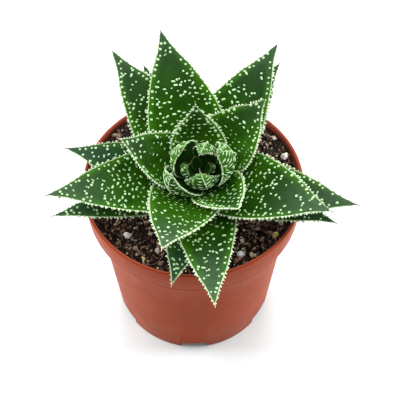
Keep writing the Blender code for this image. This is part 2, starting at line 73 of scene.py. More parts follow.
# The potting mix
SOIL_LEVEL = 95.3
SOIL_BANK = 7.5
SOIL_BANK_START = 18.0
SOIL_BANK_WIDTH = 30.0
SOIL_BANK_FRONT = -17.0
SOIL_BANK_DEPTH = 43.0
SOIL_RELIEF = 0.7
SOIL_WAVES = 7
WAVE_PITCH = 0.22
FULL_TURN = 6.28
SOIL_GAP = 0.3
SOIL_RINGS = 83
SOIL_SEGMENTS = 200
SOIL_SHARP_ANGLE = 60.0
LUMP_HEIGHT = 0.9
LUMP_PITCH = 0.36
CLOD_HEIGHT = 1.2
CLOD_PITCH = 0.14
BED_SINK = 0.4
BED_INSET = 0.2
BED_EDGE = 1.0
LITTER_SPACINGS = {"crumb_spacing": 1.25, "chip_spacing": 3.7, "fibre_spacing": 3.3, "speck_spacing": 4.2}
LITTER_DENSITY = 2000000.0
GRAIN_KNOCK = 2.0
GRAIN_SINK = 0.35
# The large grains: x and y from the pot's axis, size, and tint from white to yellow
GRAINS = (
    (-35, -29, 4.6, 0.0),
    (-23, -28, 2.6, 0.5),
    (-19, -38, 3.0, 0.4),
    (-26, -43, 2.2, 0.9),
    (25, -41, 4.2, 0.0),
    (31, -41, 3.4, 0.6),
    (44, -29, 3.6, 1.0),
    (26, -32, 3.0, 0.3),
    (47, -21, 3.0, 0.6),
    (50, 18.5, 4.6, 0.3),
    (45, 31, 2.8, 0.4),
    (-46, 12, 3.2, 0.1),
    (-30, 37, 3.8, 0.0),
    (5, 50, 3.4, 0.2),
    (24, 43, 2.8, 0.5),
)

# The rosette: its place on the mix, the taper of its stem, and its shells
ROSETTE_X = 4.5
ROSETTE_Y = -2.0
ROSETTE_HEIGHT = 97.0
ROSETTE_LEAN = 7.0
ROSETTE_SIDE_LEAN = -2.0
STEM_RADIUS = 10.5
STEM_TOP_RADIUS = 1.8
LOWEST_FOOT = 2.0
HIGHEST_FOOT = 25.0
SHELL_ORDER = (0, 4, 8, 12, 14, 16, 17, 18, 19, 20, 22, 25)
FOOT_SLOPE = (40, 42, 43, 42, 40, 38, 37, 37, 38, 39, 43, 56)
FAR_SLOPE = (5, 8, 11, 16, 28, 42, 52, 104, 144, 148, 152, 156)
BEND_START = (0, 0, 0, 0, 0, 0, 0, 8, 8, 7, 5, 2)
BEND_LENGTH = (26, 30, 34, 38, 42, 42, 42, 21, 20, 19, 16, 13)
SHELL_REACH = 125.0
SHELL_STEP = 0.5
FIRST_TURN = 215.0
TURN = 140.9

# One leaf a line, oldest first: degrees ahead of the even spiral at the foot, degrees
# that the tip turns further, length, half width
LEAVES = (
    (-54, 3, 70, 16),
    (-14, -4, 70, 13),
    (-23, 0, 73, 15),
    (-21, 0, 60, 12),
    (0, -2, 77, 16),
    (-1, 0, 77, 13),
    (4, -1, 82, 18),
    (2, 0, 86, 18),
    (13, 0, 79, 16),
    (18, -2, 84, 19),
    (8, 2, 81, 19),
    (12, -3, 75, 21),
    (-1, 0, 83, 21),
    (0, 4, 59, 20),
    (19, -4, 53, 20),
    (-5, 3, 48, 18),
    (-3, -6, 46, 16),
    (3, 0, 38, 18),
    (-6, -8, 31, 16),
    (-8, 0, 32, 17),
    (-3, 0, 27, 16),
    (-11, -12, 24, 12),
    (-11, 0, 28, 9),
    (-12, 0, 18, 8),
    (-13, 0, 14, 6),
    (-16, 0, 11, 4),
)
BLUNT_ORDER = (17, 18, 20, 21, 22)
BLUNT_TAPER = (1.0, 0.8, 0.62, 0.7, 1.0)
TAPER_START = 1.923
TAPER_BEND = 0.5
WIDEST = 1.15
CLASP_ANGLE = 60.0
CLASP_LENGTH = 15.0
YOUNG_SLIP = 0.4
FOOT_BLEND = 6.0
SPINE_LENGTH = 3.0
SPINE_HALF_WIDTH = 0.38
TIP_NARROWING = 0.22
TIP_START = 0.72
TIP_RAMP = 0.22
TIP_THINNING = 0.35
SPINE_DROOP = 0.31
SPINE_END = 0.93
SPINE_ROWS = (0.2, 0.45, 0.7, 0.89)
SPINE_TAPER = 0.85
YOUNG_SPINE_HALF_WIDTH = 0.2
MIDDLE_THICKNESS = 3.8
MARGIN_THICKNESS = 0.7
KEEL_PLACE = 0.14
KEEL_RISE = 0.35
KEEL_WIDTH = 0.8
KEEL_START = 6.0
KEEL_RAMP = 12.0
ARCH_POWER = 1.7
LEAST_LEAN = 0.03
CROWDING = 0.8
ROOM_RADIUS = (25.0, 35.0, 50.0)
ROOM_SHARE = (1.6, 3.0, 5.0)

# The finer skin, its margin bead, teeth and raised spots
YOUNG_ORDER = 14
SMOOTH_ORDER = 23
ROW_STEP = 1.0
HEART_ROW_STEP = 0.68
ROW_BUNCHING = 1.05
INNER_COLUMNS = 15
RIM_WIDTH = 0.45
SPOT_LINE = 1.9
SPOT_LINE_END = 0.93
EDGE_ROUNDING = 0.16
BEAD = 0.22
BEAD_END = 0.8
BEAD_FADE = 2.5
TOOTH_ORDER = (12, 14, 17, 18)
TOOTH_HEIGHT = (1.0, 0.8, 0.72, 0.62)
TOOTH_SPACING = (2.0, 1.6, 1.4, 1.2)
TOOTH_REACH = (1.0, 1.3, 1.5, 1.8)
TOOTHLESS_FOOT = 6.0
TOOTH_RAMP = 8.0
SPOT_RADIUS = 0.72
SPOT_DENSITY = 500000.0
SPOT_PLACE = (0.05, 0.2, 0.5, 0.8, 0.95)
SPOT_SHARE = (0.2, 1.0, 0.7, 0.3, 0.0)
OUTER_SPACINGS = {"spot_spacing": 2.3, "row_spacing": 3.0, "dash_spacing": 3.4, "dash_wander": 1.3}
HEART_SPACINGS = {"spot_spacing": 1.15, "row_spacing": 2.2, "dash_spacing": 4.8, "dash_wander": 0.5}
DASH_STEP = 0.25
DASH_RADIUS = 0.36
SHORTEST_DASH = -0.1
HEART_SHORTEST_DASH = 0.4
BAND_STEPS = ((2, 2, 3), (2,))
BAND_ORDER = (4, 8, 12, 13, 15, 17, 18)
BAND_REACH = (0.0, 0.25, 0.25, 0.5, 0.6, 0.85, 0.92)
HEART_BOW = 0.35
BOW_RAMP = 8.0
BOW_END = 0.35
RIDGE_RADIUS = 0.26
KEELED_LEAF = 18

# The camera of the photograph, and the lamps: place, size and power
CAMERA_ELEVATION = 55.4
CAMERA_DISTANCE = 663.4
CAMERA_TARGET = (3.6, 0.0, 87.5)
LENS = 108.0
SENSOR_WIDTH = 36.0
LAMPS = {
    "softbox_above": ((-100, 420, 1050), 1500, 13.5),
    "softbox_left": ((-850, 150, 420), 500, 9.5),
    "softbox_right": ((850, 150, 420), 500, 9.8),
    "softbox_behind": ((0, 900, 480), 600, 5.0),
}
LAMP_AIM = (0, 0, 100)
ROOM_LIGHT = 0.46
FLOOR_REACH = 4000
FLOOR_LEVEL = -0.2

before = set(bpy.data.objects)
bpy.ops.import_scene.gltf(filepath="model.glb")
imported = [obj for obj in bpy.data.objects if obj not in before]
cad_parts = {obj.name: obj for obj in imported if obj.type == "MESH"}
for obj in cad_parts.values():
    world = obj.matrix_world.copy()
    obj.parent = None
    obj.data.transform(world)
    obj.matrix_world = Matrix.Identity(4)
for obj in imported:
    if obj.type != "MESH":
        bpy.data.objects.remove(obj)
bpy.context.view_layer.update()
POT_LOW, POT_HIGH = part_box("pot")
POT_PLACE = 0.5 * (np.array(POT_LOW) + np.array(POT_HIGH)) * (1.0, 1.0, 0.0) / MM


def smooth(share):
    """Ease from 0 to 1 with a level start and end."""
    share = np.clip(share, 0.0, 1.0)
    return share * share * (3.0 - 2.0 * share)


def add_object(name, data):
    """A mesh, lamp or camera put into the scene."""
    thing = bpy.data.objects.new(name, data)
    bpy.context.scene.collection.objects.link(thing)
    return thing


def name_values(mesh, label, values):
    """Numbers, vectors or marks stored at a mesh's points under a name."""
    kind = "BOOLEAN" if values.dtype == bool else "FLOAT_VECTOR" if values.ndim == 2 else "FLOAT"
    attribute = mesh.attributes.new(label, kind, "POINT")
    attribute.data.foreach_set("vector" if values.ndim == 2 else "value", values.ravel())


def mesh_piece(name, points, faces, materials, attributes=None, sharp=None):
    """A mesh object from points in millimetres, with named values at its points."""
    mesh = bpy.data.meshes.new(name)
    mesh.from_pydata([tuple(point) for point in np.asarray(points, float) * MM], [], faces)
    for label, values in (attributes or {}).items():
        name_values(mesh, label, values)
    body = bmesh.new()
    body.from_mesh(mesh)
    bmesh.ops.recalc_face_normals(body, faces=body.faces)
    body.to_mesh(mesh)
    body.free()
    mesh.shade_smooth()
    if sharp:
        mesh.set_sharp_from_angle(angle=math.radians(sharp))
    for material in materials:
        mesh.materials.append(material)
    return add_object(name, mesh)


def settled(thing):
    """The object with its modifiers worked into a plain mesh."""
    bpy.context.view_layer.update()
    graph = bpy.context.evaluated_depsgraph_get()
    mesh = bpy.data.meshes.new_from_object(thing.evaluated_get(graph))
    mesh.name = thing.name
    thing.modifiers.clear()
    thing.data = mesh
    return thing


def finish_piece(thing, slot, *nodes):
    """A piece moves with the body and stands for nodes, which are hidden; its slot is not used."""
    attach(thing, "root")
    if nodes:
        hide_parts(*nodes)


class Nodes:
    """A node tree under construction."""

    def feed(self, socket, value):
        """Give a socket another node's output, a colour or a plain value."""
        if isinstance(value, bpy.types.NodeSocket):
            self.tree.links.new(value, socket)
        elif socket.type == "RGBA":
            socket.default_value = (*value, 1.0)
        else:
            socket.default_value = value

    def add(self, kind, inputs=None, **settings):
        """The outputs of a new node with these inputs and settings."""
        made = self.tree.nodes.new(kind)
        for label, value in settings.items():
            setattr(made, label, value)
        for label, value in (inputs or {}).items():
            self.feed(made.inputs[label], value)
        return made.outputs

    def maths(self, operation, first, second=0.0):
        return self.add("ShaderNodeMath", {0: first, 1: second}, operation=operation)[0]

    def product(self, result, *factors):
        for factor in factors:
            result = self.maths("MULTIPLY", result, factor)
        return result


class Finish(Nodes):
    """A material under construction."""

    def __init__(self, name):
        self.material = bpy.data.materials.new(name)
        self.material.use_nodes = True
        self.tree = self.material.node_tree
        self.place = self.add("ShaderNodeTexCoord")["Object"]

    def value(self, name):
        """A named value of the mesh's points."""
        return self.add("ShaderNodeAttribute", attribute_name=name)["Fac"]

    def noise(self, scale, detail=3.0, roughness=0.55, seed=0.0):
        """A soft random pattern; scale is the number of features in a metre."""
        return self.add("ShaderNodeTexNoise", {
            "Vector": self.place, "W": seed, "Scale": scale, "Detail": detail, "Roughness": roughness,
        }, noise_dimensions="4D")["Fac"]

    def fade(self, value, low, high, to_low=0.0, to_high=1.0):
        """A value carried smoothly from one range to another."""
        return self.add("ShaderNodeMapRange", {
            "Value": value, "From Min": low, "From Max": high, "To Min": to_low, "To Max": to_high,
        }, interpolation_type="SMOOTHSTEP")["Result"]

    def mix(self, factor, first, second):
        """Two colours mixed by a factor."""
        return self.add("ShaderNodeMix", {0: factor, 6: first, 7: second}, data_type="RGBA")[2]

    def coats(self, colour, *coats):
        """A colour under coats laid on in turn, each with its cover and its colour."""
        for cover, coat in coats:
            colour = self.mix(cover, colour, coat)
        return colour

    def ramp(self, value, stops):
        """A colour for each place along a value."""
        made = self.tree.nodes.new("ShaderNodeValToRGB")
        self.feed(made.inputs["Fac"], value)
        elements = made.color_ramp.elements
        while len(elements) < len(stops):
            elements.new(0.5)
        for element, (place, colour) in zip(elements, stops.items()):
            element.position = place
            element.color = (*colour, 1.0)
        return made.outputs["Color"]

    def relief(self, height, depth, strength=1.0):
        """Relief too fine to model, from a pattern and its depth in millimetres."""
        return self.add("ShaderNodeBump", {
            "Height": height, "Distance": depth * MM, "Strength": strength,
        })["Normal"]

    def finished(self, **sockets):
        """The material, with these values and patterns on its shader."""
        shader = self.tree.nodes["Principled BSDF"]
        for label, value in sockets.items():
            self.feed(shader.inputs[label.replace("_", " ")], value)
        return self.material


def leaf_skin_finish():
    """Waxy green skin: bright at the foot and margins, dark in the middle, greyer to the tip, the grey partly
    waxy bloom and partly painted sheen, with painted sheen on the front leaves and painted shade on the
    oldest.
    """
    skin = Finish("leaf_skin_finish")
    along, rim, young, pale = [skin.value(name) for name in ("along", "rim", "young", "pale_tip")]
    cloud = skin.noise(45.0, 2.0, 0.5)
    grain = skin.noise(420.0, 5.0, 0.65, 3.0)
    heart = skin.fade(young, 0.66, 0.80)
    reach = skin.product(along, skin.fade(young, 0.40, 0.66, 1.0, 0.8))
    # The greyer stops towards the tip are partly waxy bloom and partly painted sheen.
    green = skin.ramp(reach, {
        0.0: (0.024, 0.100, 0.001),
        0.25: (0.018, 0.078, 0.001),
        0.45: (0.008, 0.038, 0.001),
        0.72: (0.009, 0.040, 0.005),
        1.0: (0.022, 0.064, 0.020),
    })
    # Painted sheen: a grey-green laid on the outer half of the leaves that point to the front, standing in
    # for reflected light.
    painted_sheen = skin.product(skin.value("front_sheen"), skin.fade(reach, 0.45, 0.8, 0.0, 0.6))
    patch = skin.product(skin.fade(cloud, 0.38, 0.66), skin.fade(reach, 0.4, 0.75, 0.5, 0.12))
    side = skin.product(skin.fade(rim, 0.6, 5.0, 0.75, 0.0), skin.fade(along, 0.65, 0.9, 1.0, 0.5))
    by_side = skin.mix(skin.fade(along, 0.65, 0.9), (0.036, 0.135, 0.003), (0.048, 0.104, 0.036))
    # Painted shade: darker and bluer towards the tips of the oldest leaves.
    old = skin.product(skin.fade(young, 0.05, 0.30, 0.55, 0.0), skin.fade(along, 0.3, 0.9))
    lit = skin.mix(skin.fade(along, 0.45, 0.95), (0.017, 0.062, 0.008), (0.054, 0.185, 0.008))
    under = skin.product(skin.value("under"), skin.fade(young, 0.66, 0.80, 0.4, 0.0))
    bare = skin.product(skin.fade(along, 0.88, 0.96), skin.maths("SUBTRACT", 1.0, pale))
    edge = skin.product(
        skin.fade(rim, 0.05, 0.40, 0.85, 0.0),
        skin.fade(young, 0.66, 0.96, 1.0, 0.15),
        skin.maths("SUBTRACT", 1.0, bare),
    )
    dry = skin.mix(pale, (0.055, 0.045, 0.032), (0.58, 0.50, 0.32))
    green = skin.coats(
        green,
        (painted_sheen, (0.044, 0.091, 0.041)),
        (patch, (0.036, 0.135, 0.002)),
        (side, by_side),
        (old, (0.010, 0.048, 0.026)),
        (skin.product(heart, 0.92), lit),
        (skin.fade(grain, 0.35, 0.7, 0.0, 0.35), (0.005, 0.026, 0.005)),
        (under, (0.018, 0.050, 0.014)),
        (edge, (0.42, 0.62, 0.30)),
        (skin.value("dry"), skin.mix(heart, dry, (0.24, 0.25, 0.11))),
    )
    return skin.finished(
        Base_Color=green,
        Roughness=skin.fade(grain, 0.3, 0.7, 0.36, 0.52),
        Specular_IOR_Level=skin.fade(reach, 0.4, 0.95, 0.01, 0.15),
        Normal=skin.relief(grain, 0.12, 0.5),
    )


def spot_finish():
    """The raised spots: nearly white outside, greener towards the leaf's foot."""
    spot = Finish("pale_spot_finish")
    tint = spot.noise(180.0, 1.0, 0.5, 8.0)
    colour = spot.coats(
        (0.17, 0.37, 0.08),
        (spot.fade(spot.value("along"), 0.05, 0.5), (0.44, 0.66, 0.36)),
        (spot.fade(tint, 0.40, 0.65, 0.0, 0.45), (0.36, 0.60, 0.26)),
    )
    return spot.finished(Base_Color=colour, Roughness=0.5)


def tooth_finish():
    """The small horny teeth of the margins and keels, greener in the heart."""
    tooth = Finish("white_tooth_finish")
    colour = tooth.coats(
        (0.56, 0.72, 0.44),
        (tooth.noise(300.0, 1.0), (0.74, 0.82, 0.62)),
        (tooth.fade(tooth.value("young"), 0.66, 0.80, 0.0, 0.7), (0.36, 0.56, 0.26)),
    )
    return tooth.finished(Base_Color=colour, Roughness=0.45)


def stem_finish():
    """The stem between the leaf feet: green mottled with brown."""
    stem = Finish("stem_finish")
    grain = stem.noise(300.0, 4.0)
    colour = stem.mix(stem.fade(grain, 0.35, 0.7), (0.012, 0.035, 0.006), (0.030, 0.024, 0.010))
    return stem.finished(Base_Color=colour, Roughness=0.6, Normal=stem.relief(grain, 0.3))


def pot_finish():
    """Terracotta-coloured plastic with a soft shine, rubbed spots and a little dust; its inner wall is
    painted lighter and pinker as painted light.
    """
    plastic = Finish("pot_plastic_finish")
    cloud = plastic.noise(28.0, 3.0, 0.5)
    speck = plastic.noise(900.0, 2.0, 0.6, 2.0)
    rub = plastic.noise(120.0, 5.0, 0.7, 5.0)
    colour = plastic.coats(
        (0.254, 0.034, 0.005),
        (plastic.fade(cloud, 0.35, 0.65), (0.284, 0.040, 0.007)),
        (plastic.fade(speck, 0.62, 0.72, 0.0, 0.35), (0.18, 0.034, 0.016)),
        (plastic.fade(rub, 0.62, 0.80, 0.0, 0.12), (0.42, 0.13, 0.075)),
        # Painted light: the inner wall gets a lighter, pinker colour for light falling on it from above.
        (plastic.value("inside"), (0.340, 0.075, 0.045)),
    )
    return plastic.finished(
        Base_Color=colour,
        Roughness=plastic.fade(rub, 0.3, 0.7, 0.42, 0.56),
        Specular_IOR_Level=0.05,
        Sheen_Weight=0.1,
        Sheen_Tint=(1.0, 0.72, 0.62),
        Sheen_Roughness=0.35,
        Normal=plastic.relief(speck, 0.04, 0.5),
    )


def peat_finish():
    """Dark, damp peat."""
    peat = Finish("peat_finish")
    grain = peat.noise(700.0, 6.0, 0.65)
    patch = peat.noise(90.0, 3.0, 0.6, 4.0)
    colour = peat.coats(
        (0.002, 0.0015, 0.001),
        (peat.fade(grain, 0.35, 0.65), (0.020, 0.009, 0.006)),
        (peat.fade(patch, 0.45, 0.7, 0.0, 0.6), (0.006, 0.004, 0.003)),
    )
    return peat.finished(
        Base_Color=colour, Roughness=0.85, Specular_IOR_Level=0.2, Normal=peat.relief(grain, 0.9),
    )


def bark_finish():
    """Crumbs, chips and fibres, each of its own brown."""
    bark = Finish("bark_finish")
    grain = bark.noise(900.0, 5.0, 0.65)
    brown = bark.ramp(bark.value("tint"), {
        0.0: (0.003, 0.002, 0.002),
        0.36: (0.014, 0.007, 0.005),
        0.60: (0.050, 0.020, 0.012),
        0.82: (0.255, 0.135, 0.080),
        1.0: (0.760, 0.600, 0.430),
    })
    colour = bark.mix(bark.fade(grain, 0.4, 0.7, 0.0, 0.6), brown, (0.012, 0.007, 0.005))
    return bark.finished(
        Base_Color=colour, Roughness=0.75, Specular_IOR_Level=0.25, Normal=bark.relief(grain, 0.4),
    )


def perlite_finish():
    """Expanded mineral grains: white, some cream or stained."""
    grain = Finish("perlite_finish")
    pits = grain.noise(1100.0, 4.0, 0.6)
    white = grain.ramp(grain.value("tint"), {
        0.0: (0.92, 0.90, 0.87),
        0.5: (0.72, 0.63, 0.50),
        1.0: (0.85, 0.76, 0.24),
    })
    colour = grain.mix(grain.fade(pits, 0.5, 0.7, 0.0, 0.4), white, (0.30, 0.22, 0.16))
    return grain.finished(Base_Color=colour, Roughness=0.7, Normal=grain.relief(pits, 0.35))


def paper_finish():
    """The pale, even paper that the pot stands on."""
    paper = Finish("floor_paper")
    colour = paper.mix(paper.noise(8.0, 2.0), (0.82, 0.87, 0.88), (0.84, 0.89, 0.90))
    return paper.finished(Base_Color=colour, Roughness=0.9)


class ShapeTree(Nodes):
    """A geometry tree under construction, with named inputs and a seed."""

    def __init__(self, name, *inputs):
        self.tree = bpy.data.node_groups.new(name, "GeometryNodeTree")
        for way in ("INPUT", "OUTPUT"):
            self.tree.interface.new_socket("Geometry", in_out=way, socket_type="NodeSocketGeometry")
        self.labels = {}
        for label in (*inputs, "seed"):
            kind = "NodeSocketInt" if label == "seed" else "NodeSocketFloat"
            item = self.tree.interface.new_socket(label, in_out="INPUT", socket_type=kind)
            self.labels[label] = item.identifier
        self.given = self.tree.nodes.new("NodeGroupInput").outputs
        self.seed = self.given["seed"]
        self.result = self.tree.nodes.new("NodeGroupOutput").inputs[0]

    def shape(self, kind, inputs=None, **settings):
        """The first output of a new geometry node."""
        return self.add("GeometryNode" + kind, inputs, **settings)[0]

    def named(self, name, kind="FLOAT"):
        """A named value of the points."""
        return self.add("GeometryNodeInputNamedAttribute", {"Name": name}, data_type=kind)["Attribute"]

    def store(self, shapes, name, value, domain="POINT"):
        return self.shape("StoreNamedAttribute", {
            "Geometry": shapes, "Name": name, "Value": value,
        }, data_type="FLOAT", domain=domain)

    def chance(self, low, high, seed=None, each=None):
        """A random number for each point, or for each value of a count."""
        inputs = {2: low, 3: high, "Seed": self.seed if seed is None else seed}
        if each is not None:
            inputs["ID"] = each
        return self.add("FunctionNodeRandomValue", inputs, data_type="FLOAT")[1]

    def join(self, *parts):
        made = self.tree.nodes.new("GeometryNodeJoinGeometry")
        for part in parts:
            self.feed(made.inputs[0], part)
        return made.outputs[0]

    def vector(self, operation, first, second):
        """A vector worked out from two others, or from one and a scale."""
        socket = "Scale" if operation == "SCALE" else 1
        return self.add("ShaderNodeVectorMath", {0: first, socket: second}, operation=operation)[0]

    def combined(self, x, y, z):
        return self.add("ShaderNodeCombineXYZ", {"X": x, "Y": y, "Z": z})[0]

    def tangent(self):
        return self.shape("InputTangent")

    def facing(self, up, side):
        """A turn that stands Z along one direction and X near another."""
        return self.add(
            "FunctionNodeAxesToRotation", {0: up, 1: side}, primary_axis="Z", secondary_axis="X",
        )[0]

    def tipped(self, x, y, z):
        """A turn by angles about the three axes."""
        return self.add("FunctionNodeEulerToRotation", {0: self.combined(x, y, z)})[0]

    def shifted(self, shapes, direction, distance):
        offset = self.vector("SCALE", direction, distance)
        return self.shape("SetPosition", {"Geometry": shapes, "Offset": offset})

    def marked_edges(self, mesh, mark):
        """The edges whose points carry a mark, as curves."""
        return self.shape("MeshToCurve", {0: mesh, "Selection": self.named(mark, "BOOLEAN")})

    def stepped(self, curve, length):
        return self.shape("ResampleCurve", {"Curve": curve, "Length": length}, mode="LENGTH")

    def shaken(self, points, spacing, share):
        """Points nudged along their line by up to a share of their spacing."""
        return self.shifted(points, self.tangent(), self.product(self.chance(-share, share), spacing))

    def tube(self, curve, radius, sides=6, swell=1.0):
        """A capped tube along a curve, its section swelling from point to point."""
        section = self.shape("CurvePrimitiveCircle", {"Resolution": sides, "Radius": radius})
        return self.shape("CurveToMesh", {
            "Curve": curve, "Profile Curve": section, "Scale": swell, "Fill Caps": True,
        })

    def ball(self, radius, subdivisions):
        return self.shape("MeshIcoSphere", {"Radius": radius, "Subdivisions": subdivisions})

    def copied(self, shape, place=(0.0, 0.0, 0.0), scale=(1.0, 1.0, 1.0)):
        return self.shape("Transform", {0: shape, "Translation": place, "Scale": scale})

    def strewn(self, mesh, share, spacing, most, seed):
        """Points strewn over a mesh at no less than a spacing, thinned by a named share."""
        return self.add("GeometryNodeDistributePointsOnFaces", {
            "Mesh": mesh, "Distance Min": spacing, "Density Max": most,
            "Density Factor": self.named(share), "Seed": seed,
        }, distribute_method="POISSON")

    def placed(self, points, shape, turn, size, chosen=True, pick=False):
        """A shape stood on each chosen point, or one picked at random from several."""
        return self.shape("InstanceOnPoints", {
            "Points": points, "Selection": chosen, "Instance": shape, "Pick Instance": pick,
            "Rotation": turn, "Scale": size,
        })

    def real(self, shapes):
        return self.shape("RealizeInstances", {0: shapes})

    def knocked(self, shapes, depth, scale):
        """Placed shapes made real and pushed out of true by a noise that is fixed in space."""
        ripple = self.add("ShaderNodeTexNoise", {"Scale": scale, "Detail": 2.0})["Color"]
        push = self.vector("SUBTRACT", ripple, (0.5, 0.5, 0.5))
        return self.shifted(self.real(shapes), push, depth)

    def shaded(self, shapes, smooth_faces):
        return self.shape("SetShadeSmooth", {0: shapes, "Shade Smooth": smooth_faces})

    def made_of(self, shapes, material):
        return self.shape("SetMaterial", {"Geometry": shapes, "Material": material})

    def use(self, thing, sizes, **others):
        """Run the tree on an object with these sizes in millimetres and other inputs."""
        modifier = thing.modifiers.new(self.tree.name, "NODES")
        modifier.node_group = self.tree
        values = {label: size * MM for label, size in sizes.items()}
        for label, value in (values | others).items():
            modifier[self.labels[label.replace("_", " ")]] = value
        return settled(thing)


def leaf_teeth(tree, skin):
    """Blunt thorns along every margin, and a low ridge along the keels of young leaves."""
    spacing = tree.given["tooth spacing"]
    bite = tree.named("bite")
    thorn = tree.shape("MeshCone", {
        "Vertices": 6, "Side Segments": 1, "Radius Top": 0.2, "Radius Bottom": 0.85, "Depth": 1.0,
    }, fill_type="TRIANGLE_FAN")
    stations = tree.shaken(tree.stepped(tree.marked_edges(skin, "margin"), spacing), spacing, 0.38)
    width = tree.product(bite, tree.given["tooth height"], tree.chance(0.6, 1.15))
    reach = tree.product(width, tree.given["tooth reach"], tree.chance(0.7, 1.25, 3))
    turn = tree.facing(tree.named("outward", "FLOAT_VECTOR"), tree.tangent())
    size = tree.combined(width, width, reach)
    teeth = tree.placed(stations, thorn, turn, size, tree.maths("GREATER_THAN", bite, 0.25))
    ridge = tree.tube(tree.marked_edges(skin, "keel_line"), RIDGE_RADIUS * MM, swell=bite)
    return tree.join(teeth, ridge)


def leaf_spots(tree, skin, dome):
    """Low domes strewn over the leaf: round, oval and grown together in pairs."""
    oval = tree.copied(dome, scale=(1.6, 0.8, 0.9))
    twin = tree.join(
        tree.copied(dome, (1.05, 0.1, 0.0)),
        tree.copied(dome, (-1.0, -0.3, 0.0), (0.8, 0.75, 0.8)),
    )
    choices = tree.join(*[
        tree.shape("GeometryToInstance", {0: shape})
        for shape in (dome, dome, oval, oval, oval, twin, twin)
    ])
    field = tree.strewn(skin, "spots", tree.given["spot spacing"], SPOT_DENSITY, tree.seed)
    size = tree.product(tree.given["spot radius"], tree.chance(0.55, 1.15), tree.named("spot_size"))
    spin = tree.add("FunctionNodeRotateRotation", {
        "Rotation": tree.facing(field["Normal"], tree.named("crosswise", "FLOAT_VECTOR")),
        "Rotate By": tree.tipped(0.0, 0.0, tree.chance(-0.9, 0.9, 4)),
    }, rotation_space="LOCAL")[0]
    flat = tree.combined(size, size, tree.product(size, 0.42))
    return tree.placed(field["Points"], choices, spin, flat, pick=True)


def leaf_spot_row(tree, skin, dome):
    """A loose row of domes just inside each margin."""
    spacing = tree.given["row spacing"]
    radius = tree.given["spot radius"]
    crosswise = tree.named("crosswise", "FLOAT_VECTOR")
    steps = tree.stepped(tree.marked_edges(skin, "spot_line"), spacing)
    steps = tree.shifted(steps, crosswise, tree.product(tree.chance(-1.1, 1.1), radius))
    steps = tree.shaken(steps, spacing, 0.4)
    size = tree.product(radius, tree.chance(0.6, 1.2), tree.named("spot_size"))
    kept = tree.maths("GREATER_THAN", tree.product(tree.named("bite"), tree.chance(0.3, 1.8)), 0.6)
    turn = tree.facing(tree.named("skin_normal", "FLOAT_VECTOR"), crosswise)
    return tree.placed(steps, dome, turn, tree.combined(size, size, tree.product(size, 0.45)), kept)


def leaf_dashes(tree, skin):
    """Long raised dashes in bands across the leaf, each swelling and thinning out."""
    spacing = tree.given["dash spacing"]
    ring = tree.stepped(tree.marked_edges(skin, "band"), DASH_STEP * MM)
    drift = tree.add("ShaderNodeTexNoise", {"Scale": 210.0, "Detail": 1.0})[0]
    drift = tree.product(tree.maths("SUBTRACT", drift, 0.5), tree.given["dash wander"])
    upright = tree.named("skin_normal", "FLOAT_VECTOR")
    ring = tree.shifted(ring, tree.vector("CROSS_PRODUCT", upright, tree.tangent()), drift)
    which = tree.add("GeometryNodeCurveOfPoint")["Curve Index"]
    start = tree.product(tree.chance(0.0, 50.0, each=which), spacing)
    run = tree.maths("ADD", tree.add("GeometryNodeSplineParameter")["Length"], start)
    run = tree.maths("DIVIDE", run, spacing)
    ring = tree.store(tree.store(ring, "run", run), "ring", which)
    run = tree.named("run")
    each = tree.maths("ADD", tree.maths("FLOOR", run), tree.product(tree.named("ring"), 131.0))
    filled = tree.product(tree.chance(tree.given["shortest dash"], 0.95, each=each), tree.named("long"))
    wire = tree.add("GeometryNodeDeleteGeometry", {
        0: tree.shape("CurveToMesh", {"Curve": ring}),
        "Selection": tree.maths("GREATER_THAN", tree.maths("FRACT", run), filled),
    }, domain="EDGE")[0]
    dashes = tree.shape("MeshToCurve", {0: wire})
    factor = tree.add("GeometryNodeSplineParameter")["Factor"]
    swell = tree.product(tree.maths("SINE", tree.product(factor, math.pi)), 0.85)
    swell = tree.product(tree.maths("ADD", swell, 0.15), tree.chance(0.65, 1.25, each=which))
    return tree.tube(dashes, DASH_RADIUS * MM, swell=swell)


def dressing_tree(tooth_material, spot_material):
    """Teeth, spots, spot rows and dashes for any leaf's skin."""
    tree = ShapeTree(
        "leaf_dressing", "tooth spacing", "tooth height", "tooth reach", "spot spacing", "spot radius",
        "row spacing", "dash spacing", "shortest dash", "dash wander",
    )
    skin = tree.given["Geometry"]
    dome = tree.shape("MeshUVSphere", {"Segments": 9, "Rings": 5, "Radius": 1.0})
    pale = tree.join(leaf_spots(tree, skin, dome), leaf_spot_row(tree, skin, dome), leaf_dashes(tree, skin))
    parts = [skin]
    for shapes, material in ((leaf_teeth(tree, skin), tooth_material), (pale, spot_material)):
        parts.append(tree.made_of(tree.shaded(tree.real(shapes), True), material))
    tree.feed(tree.result, tree.join(*parts))
    return tree


def room_between(upper, lower):
    """Distance from each step of a shell down to the shell below it."""
    across = upper.radius[:, None] - lower.radius[None, :]
    up = upper.height[:, None] - lower.height[None, :]
    return np.hypot(across, up).min(axis=1)


class Shell:
    """Side profile of one shell of the rosette, from the leaf's foot outward."""

    def __init__(self, order):
        self.along = np.arange(0.0, SHELL_REACH, SHELL_STEP)
        lines = FOOT_SLOPE, FAR_SLOPE, BEND_START, BEND_LENGTH
        foot, far, start, bend = [np.interp(order, SHELL_ORDER, line) for line in lines]
        self.slope = np.radians(foot + (far - foot) * smooth((self.along - start) / bend))
        middle = 0.5 * (self.slope[1:] + self.slope[:-1])
        share = order / (len(LEAVES) - 1)
        height = LOWEST_FOOT + (HIGHEST_FOOT - LOWEST_FOOT) * share
        foot_radius = STEM_RADIUS + (STEM_TOP_RADIUS - STEM_RADIUS) * share
        self.radius = foot_radius + self.run(np.cos(middle))
        self.height = height + self.run(np.sin(middle))

    def run(self, direction):
        return np.concatenate([[0.0], np.cumsum(direction * SHELL_STEP)])

    def at(self, along):
        """Radius, height and slope at distances along the shell."""
        return [np.interp(along, self.along, line) for line in (self.radius, self.height, self.slope)]


